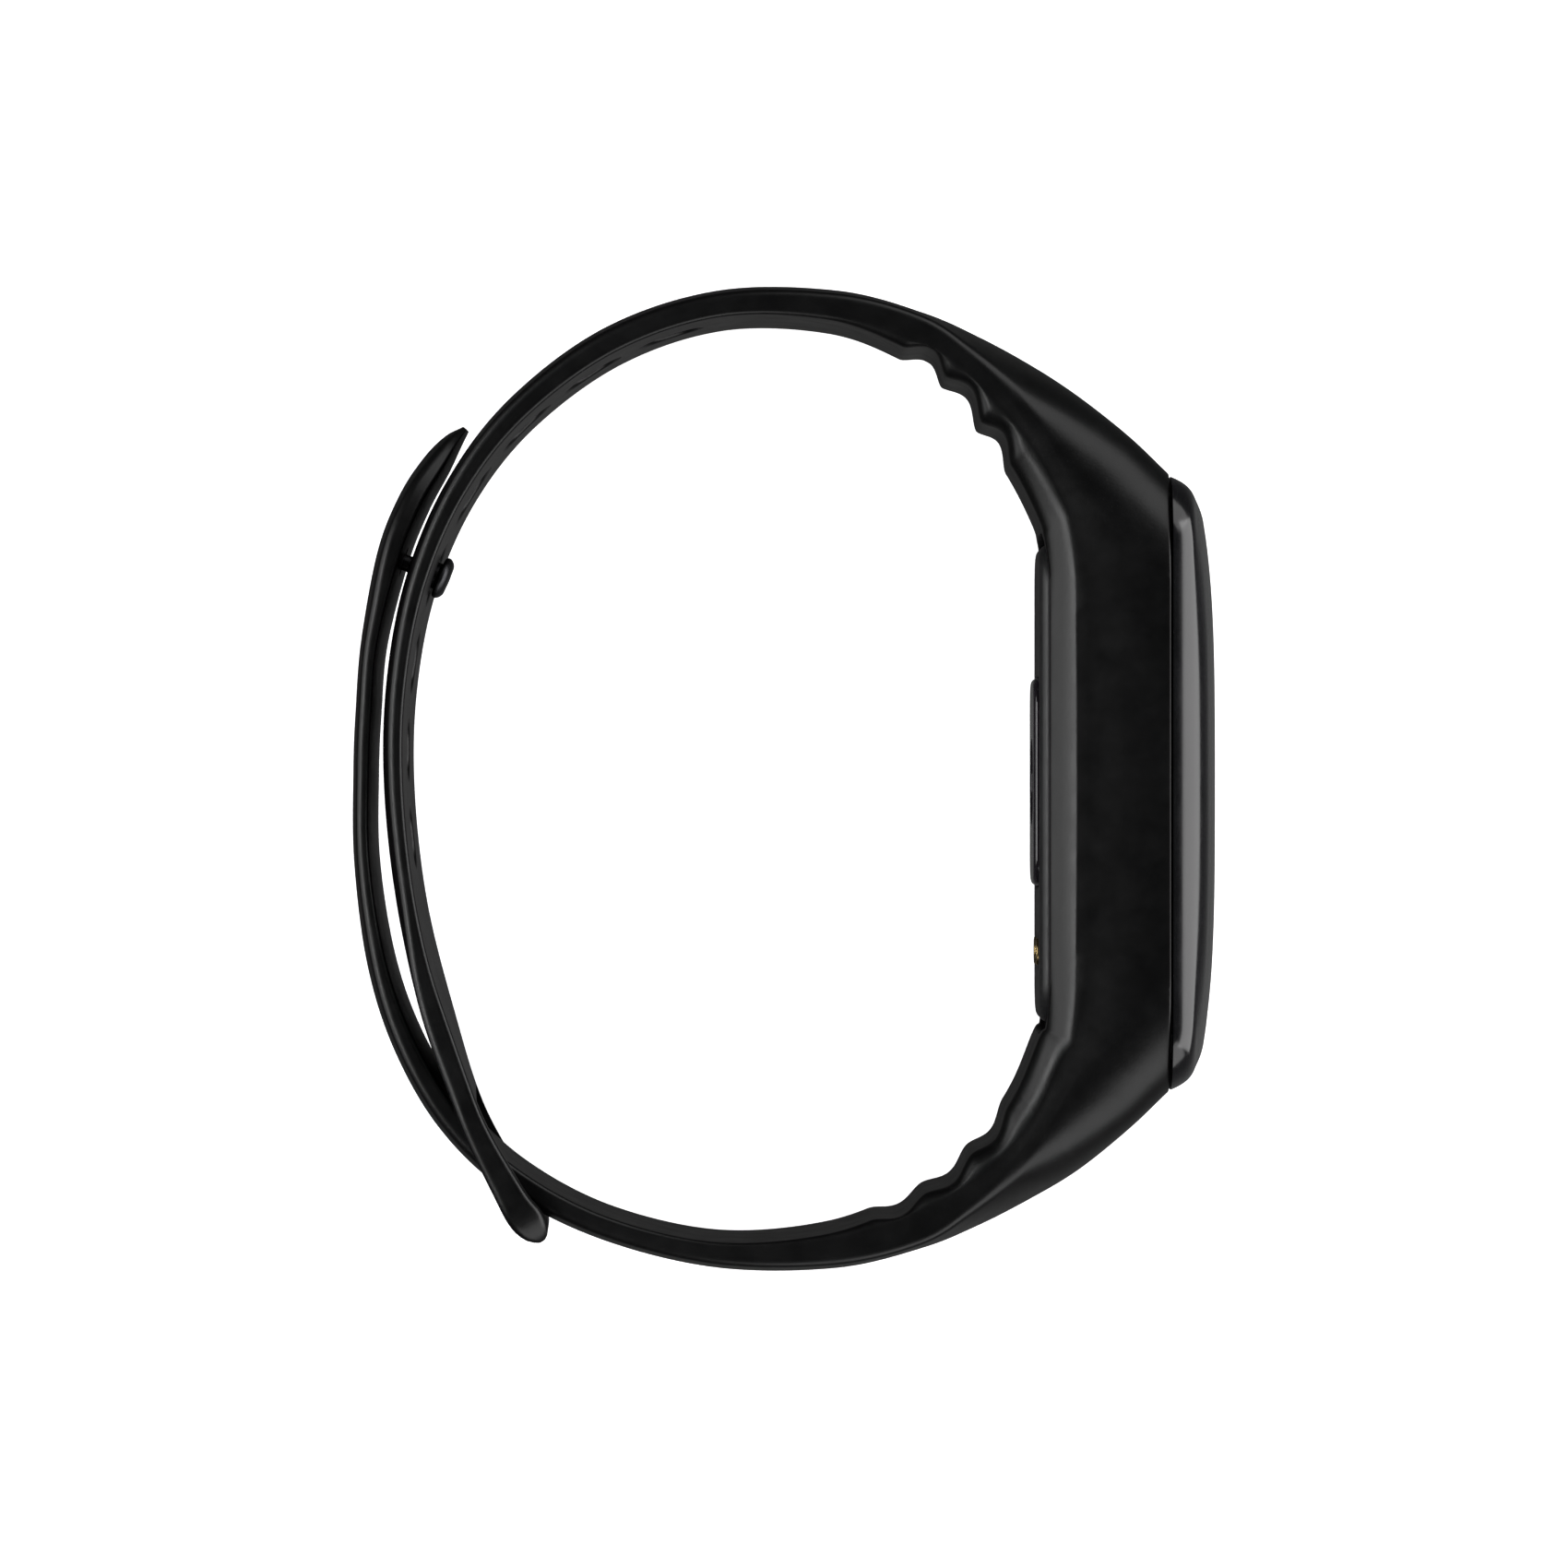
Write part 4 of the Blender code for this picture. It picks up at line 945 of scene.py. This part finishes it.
def steel_material():
    """Dark plated steel with a fine brushed grain and brighter worn spots."""
    g = Graph("clasp_steel_look", 0.36, metallic=1.0)
    brushed = g.noise(2600, 5, 0.6, (0.35, 1.0, 6.0))
    g.to(g.ramp(brushed, (0.3, 0.3), (0.7, 0.46)), "Roughness")
    g.to(g.ramp(g.noise(700, 5), (0.3, (0.05, 0.05, 0.053)), (0.7, (0.09, 0.09, 0.095))), "Base Color")
    g.bump((brushed, 0.000002))
    return g.material


def plastic_material():
    """Satin moulded plastic."""
    g = Graph("case_plastic_look", 0.38)
    g.to(g.ramp(g.noise(320, 5), (0.3, (0.011, 0.011, 0.012)), (0.7, (0.018, 0.018, 0.019))), "Base Color")
    g.to(g.ramp(g.noise(1500, 4), (0.3, 0.33), (0.7, 0.45)), "Roughness")
    g.bump((g.cells(5200), 0.000003))
    return g.material


def window_material():
    """Smoked clear plastic over the pulse sensor."""
    g = Graph("sensor_window_look", 0.06, specular=0.6, coat=0.5, coat_roughness=0.04)
    g.to(g.ramp(g.noise(180, 4), (0.3, (0.009, 0.008, 0.010)), (0.7, (0.016, 0.013, 0.017))), "Base Color")
    g.to(g.ramp(g.noise(1200, 5), (0.4, 0.04), (0.8, 0.12)), "Roughness")
    return g.material


def plain_material(name, low, high, rough, metallic=0.0, scale=900, depth=0.000003):
    """A finish for small parts: two tones, uneven shine and a fine surface."""
    g = Graph(name, rough, metallic)
    g.to(g.ramp(g.noise(scale, 5), (0.3, low), (0.7, high)), "Base Color")
    g.to(g.ramp(g.noise(scale * 3, 4), (0.3, 0.8 * rough), (0.7, 1.2 * rough)), "Roughness")
    g.bump((g.noise(scale * 4, 3), depth))
    return g.material


def finish_nodes(gold):
    """Procedural finishes for the parts that stay as the CAD has them."""
    steel = plain_material("motor_steel_look", (0.5, 0.5, 0.51), (0.62, 0.62, 0.64), 0.28, 1.0)
    brass = plain_material("rotor_brass_look", (0.45, 0.37, 0.2), (0.58, 0.49, 0.3), 0.34, 1.0)
    board = plain_material("circuit_board_look", (0.006, 0.06, 0.025), (0.012, 0.1, 0.04), 0.42)
    chip = plain_material("chip_black_look", (0.014, 0.014, 0.015), (0.026, 0.026, 0.027), 0.5)
    seal = plain_material("seal_rubber_look", (0.022, 0.022, 0.023), (0.035, 0.035, 0.036), 0.7)
    foil = plain_material("battery_foil_look", (0.52, 0.53, 0.55), (0.68, 0.68, 0.7), 0.33, 0.6,
                          300, 0.00002)
    screen = plain_material("display_glass_look", (0.006, 0.006, 0.009), (0.011, 0.011, 0.014), 0.1)
    flex = plain_material("flex_polyimide_look", (0.4, 0.19, 0.025), (0.55, 0.28, 0.05), 0.4)
    lens = plain_material("led_lens_look", (0.07, 0.42, 0.12), (0.12, 0.55, 0.18), 0.18)
    plastic = plain_material("baffle_plastic_look", (0.01, 0.01, 0.011), (0.018, 0.018, 0.019), 0.5)
    wanted = {
        "case_seal": seal, "sensor_board": board, "pulse_led_1": lens, "pulse_led_2": lens,
        "photodiode": chip, "light_baffle": plastic, "battery": foil, "main_board": board,
        "processor": chip, "memory_chip": chip, "motion_sensor": chip, "charge_regulator": chip,
        "chip_antenna": chip, "display_panel": screen, "display_flex": flex, "touch_pad": gold,
        "motor_can": steel, "motor_base": steel, "motor_shaft": steel, "motor_rotor": brass}
    for name, material in wanted.items():
        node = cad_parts[name]
        for place in node.material_slots:
            place.material = material


# ---------------------------------------------------------------- stage

def make_floor():
    """A pale floor that curves up far away on every side."""
    rings = []
    for radius, height in FLOOR_PROFILE:
        turns = [-2 * math.pi * k / FLOOR_SIDES for k in range(FLOOR_SIDES)]
        rings.append([(radius * math.cos(turn), radius * math.sin(turn), height) for turn in turns])
    form = bmesh.new()
    rows = skin(form, rings)
    form.faces.new(rows[0][::-1])
    g = Graph("floor_look", 0.9, specular=0.2)
    g.to(g.ramp(g.noise(6, 3), (0.3, (0.86, 0.86, 0.86)), (0.7, (0.9, 0.9, 0.9))), "Base Color")
    g.shader.inputs["Emission Color"].default_value = (1.0, 1.0, 1.0, 1.0)
    g.shader.inputs["Emission Strength"].default_value = 0.95
    floor = add_piece("floor", form_to_mesh(form, "floor"), g.material)
    floor.location.z = FLOOR_DROP
    floor.visible_glossy = False


def add_light(name, place, target, size, power):
    """A soft box aimed at a point."""
    lamp = bpy.data.lights.new(name, "AREA")
    lamp.shape = "RECTANGLE"
    lamp.size, lamp.size_y = size
    lamp.energy = power
    box = bpy.data.objects.new(name, lamp)
    bpy.context.scene.collection.objects.link(box)
    box.location = place
    box.rotation_euler = (Vector(target) - Vector(place)).to_track_quat("-Z", "Y").to_euler()
    box.visible_camera = False


def make_sky():
    """A grey sky that is brightest opposite SKY_DARK and falls off towards it."""
    world = bpy.data.worlds.new("studio")
    world.use_nodes = True
    nodes = world.node_tree.nodes
    links = world.node_tree.links
    place = nodes.new("ShaderNodeTexCoord")
    tilt = nodes.new("ShaderNodeVectorMath")
    tilt.operation = "DOT_PRODUCT"
    tilt.inputs[1].default_value = Vector(SKY_DARK).normalized()
    shift = nodes.new("ShaderNodeMapRange")
    shift.inputs["From Min"].default_value = -1.0
    ramp = nodes.new("ShaderNodeValToRGB")
    elements = ramp.color_ramp.elements
    for position, _ in SKY_STOPS[1:-1]:
        elements.new(position)
    for element, (_, level) in zip(elements, SKY_STOPS):
        element.color = (level, level, level, 1.0)
    links.new(place.outputs["Generated"], tilt.inputs[0])
    links.new(tilt.outputs["Value"], shift.inputs["Value"])
    links.new(shift.outputs["Result"], ramp.inputs["Fac"])
    links.new(ramp.outputs["Color"], nodes["Background"].inputs["Color"])
    bpy.context.scene.world = world


def make_camera():
    """The camera looks straight down the wrist axis, as in the photograph."""
    scene = bpy.context.scene
    view = bpy.data.cameras.new("camera")
    view.sensor_width = CAMERA_SENSOR
    view.lens = CAMERA_LENS
    view.clip_start, view.clip_end = CAMERA_CLIP
    camera = bpy.data.objects.new("camera", view)
    scene.collection.objects.link(camera)
    camera.location = CAMERA_AT
    scene.camera = camera


def make_studio():
    """Soft boxes on every side, the sky and the camera."""
    for name, place, size, power in SOFT_BOXES:
        add_light(name, place, STUDIO_CENTRE, size, power)
    make_sky()
    make_camera()
    bpy.context.scene.view_settings.view_transform = "Standard"


# ---------------------------------------------------------------- the object

rubber = rubber_material()
gold = plain_material("contact_gold_look", (0.72, 0.5, 0.2), (0.86, 0.64, 0.3), 0.24, 1.0)
make_band(rubber)
make_clasp(steel_material())
make_cap(gloss_material())
make_case(plastic_material())
make_back_parts(window_material(), gold)
finish_nodes(gold)
make_floor()
make_studio()
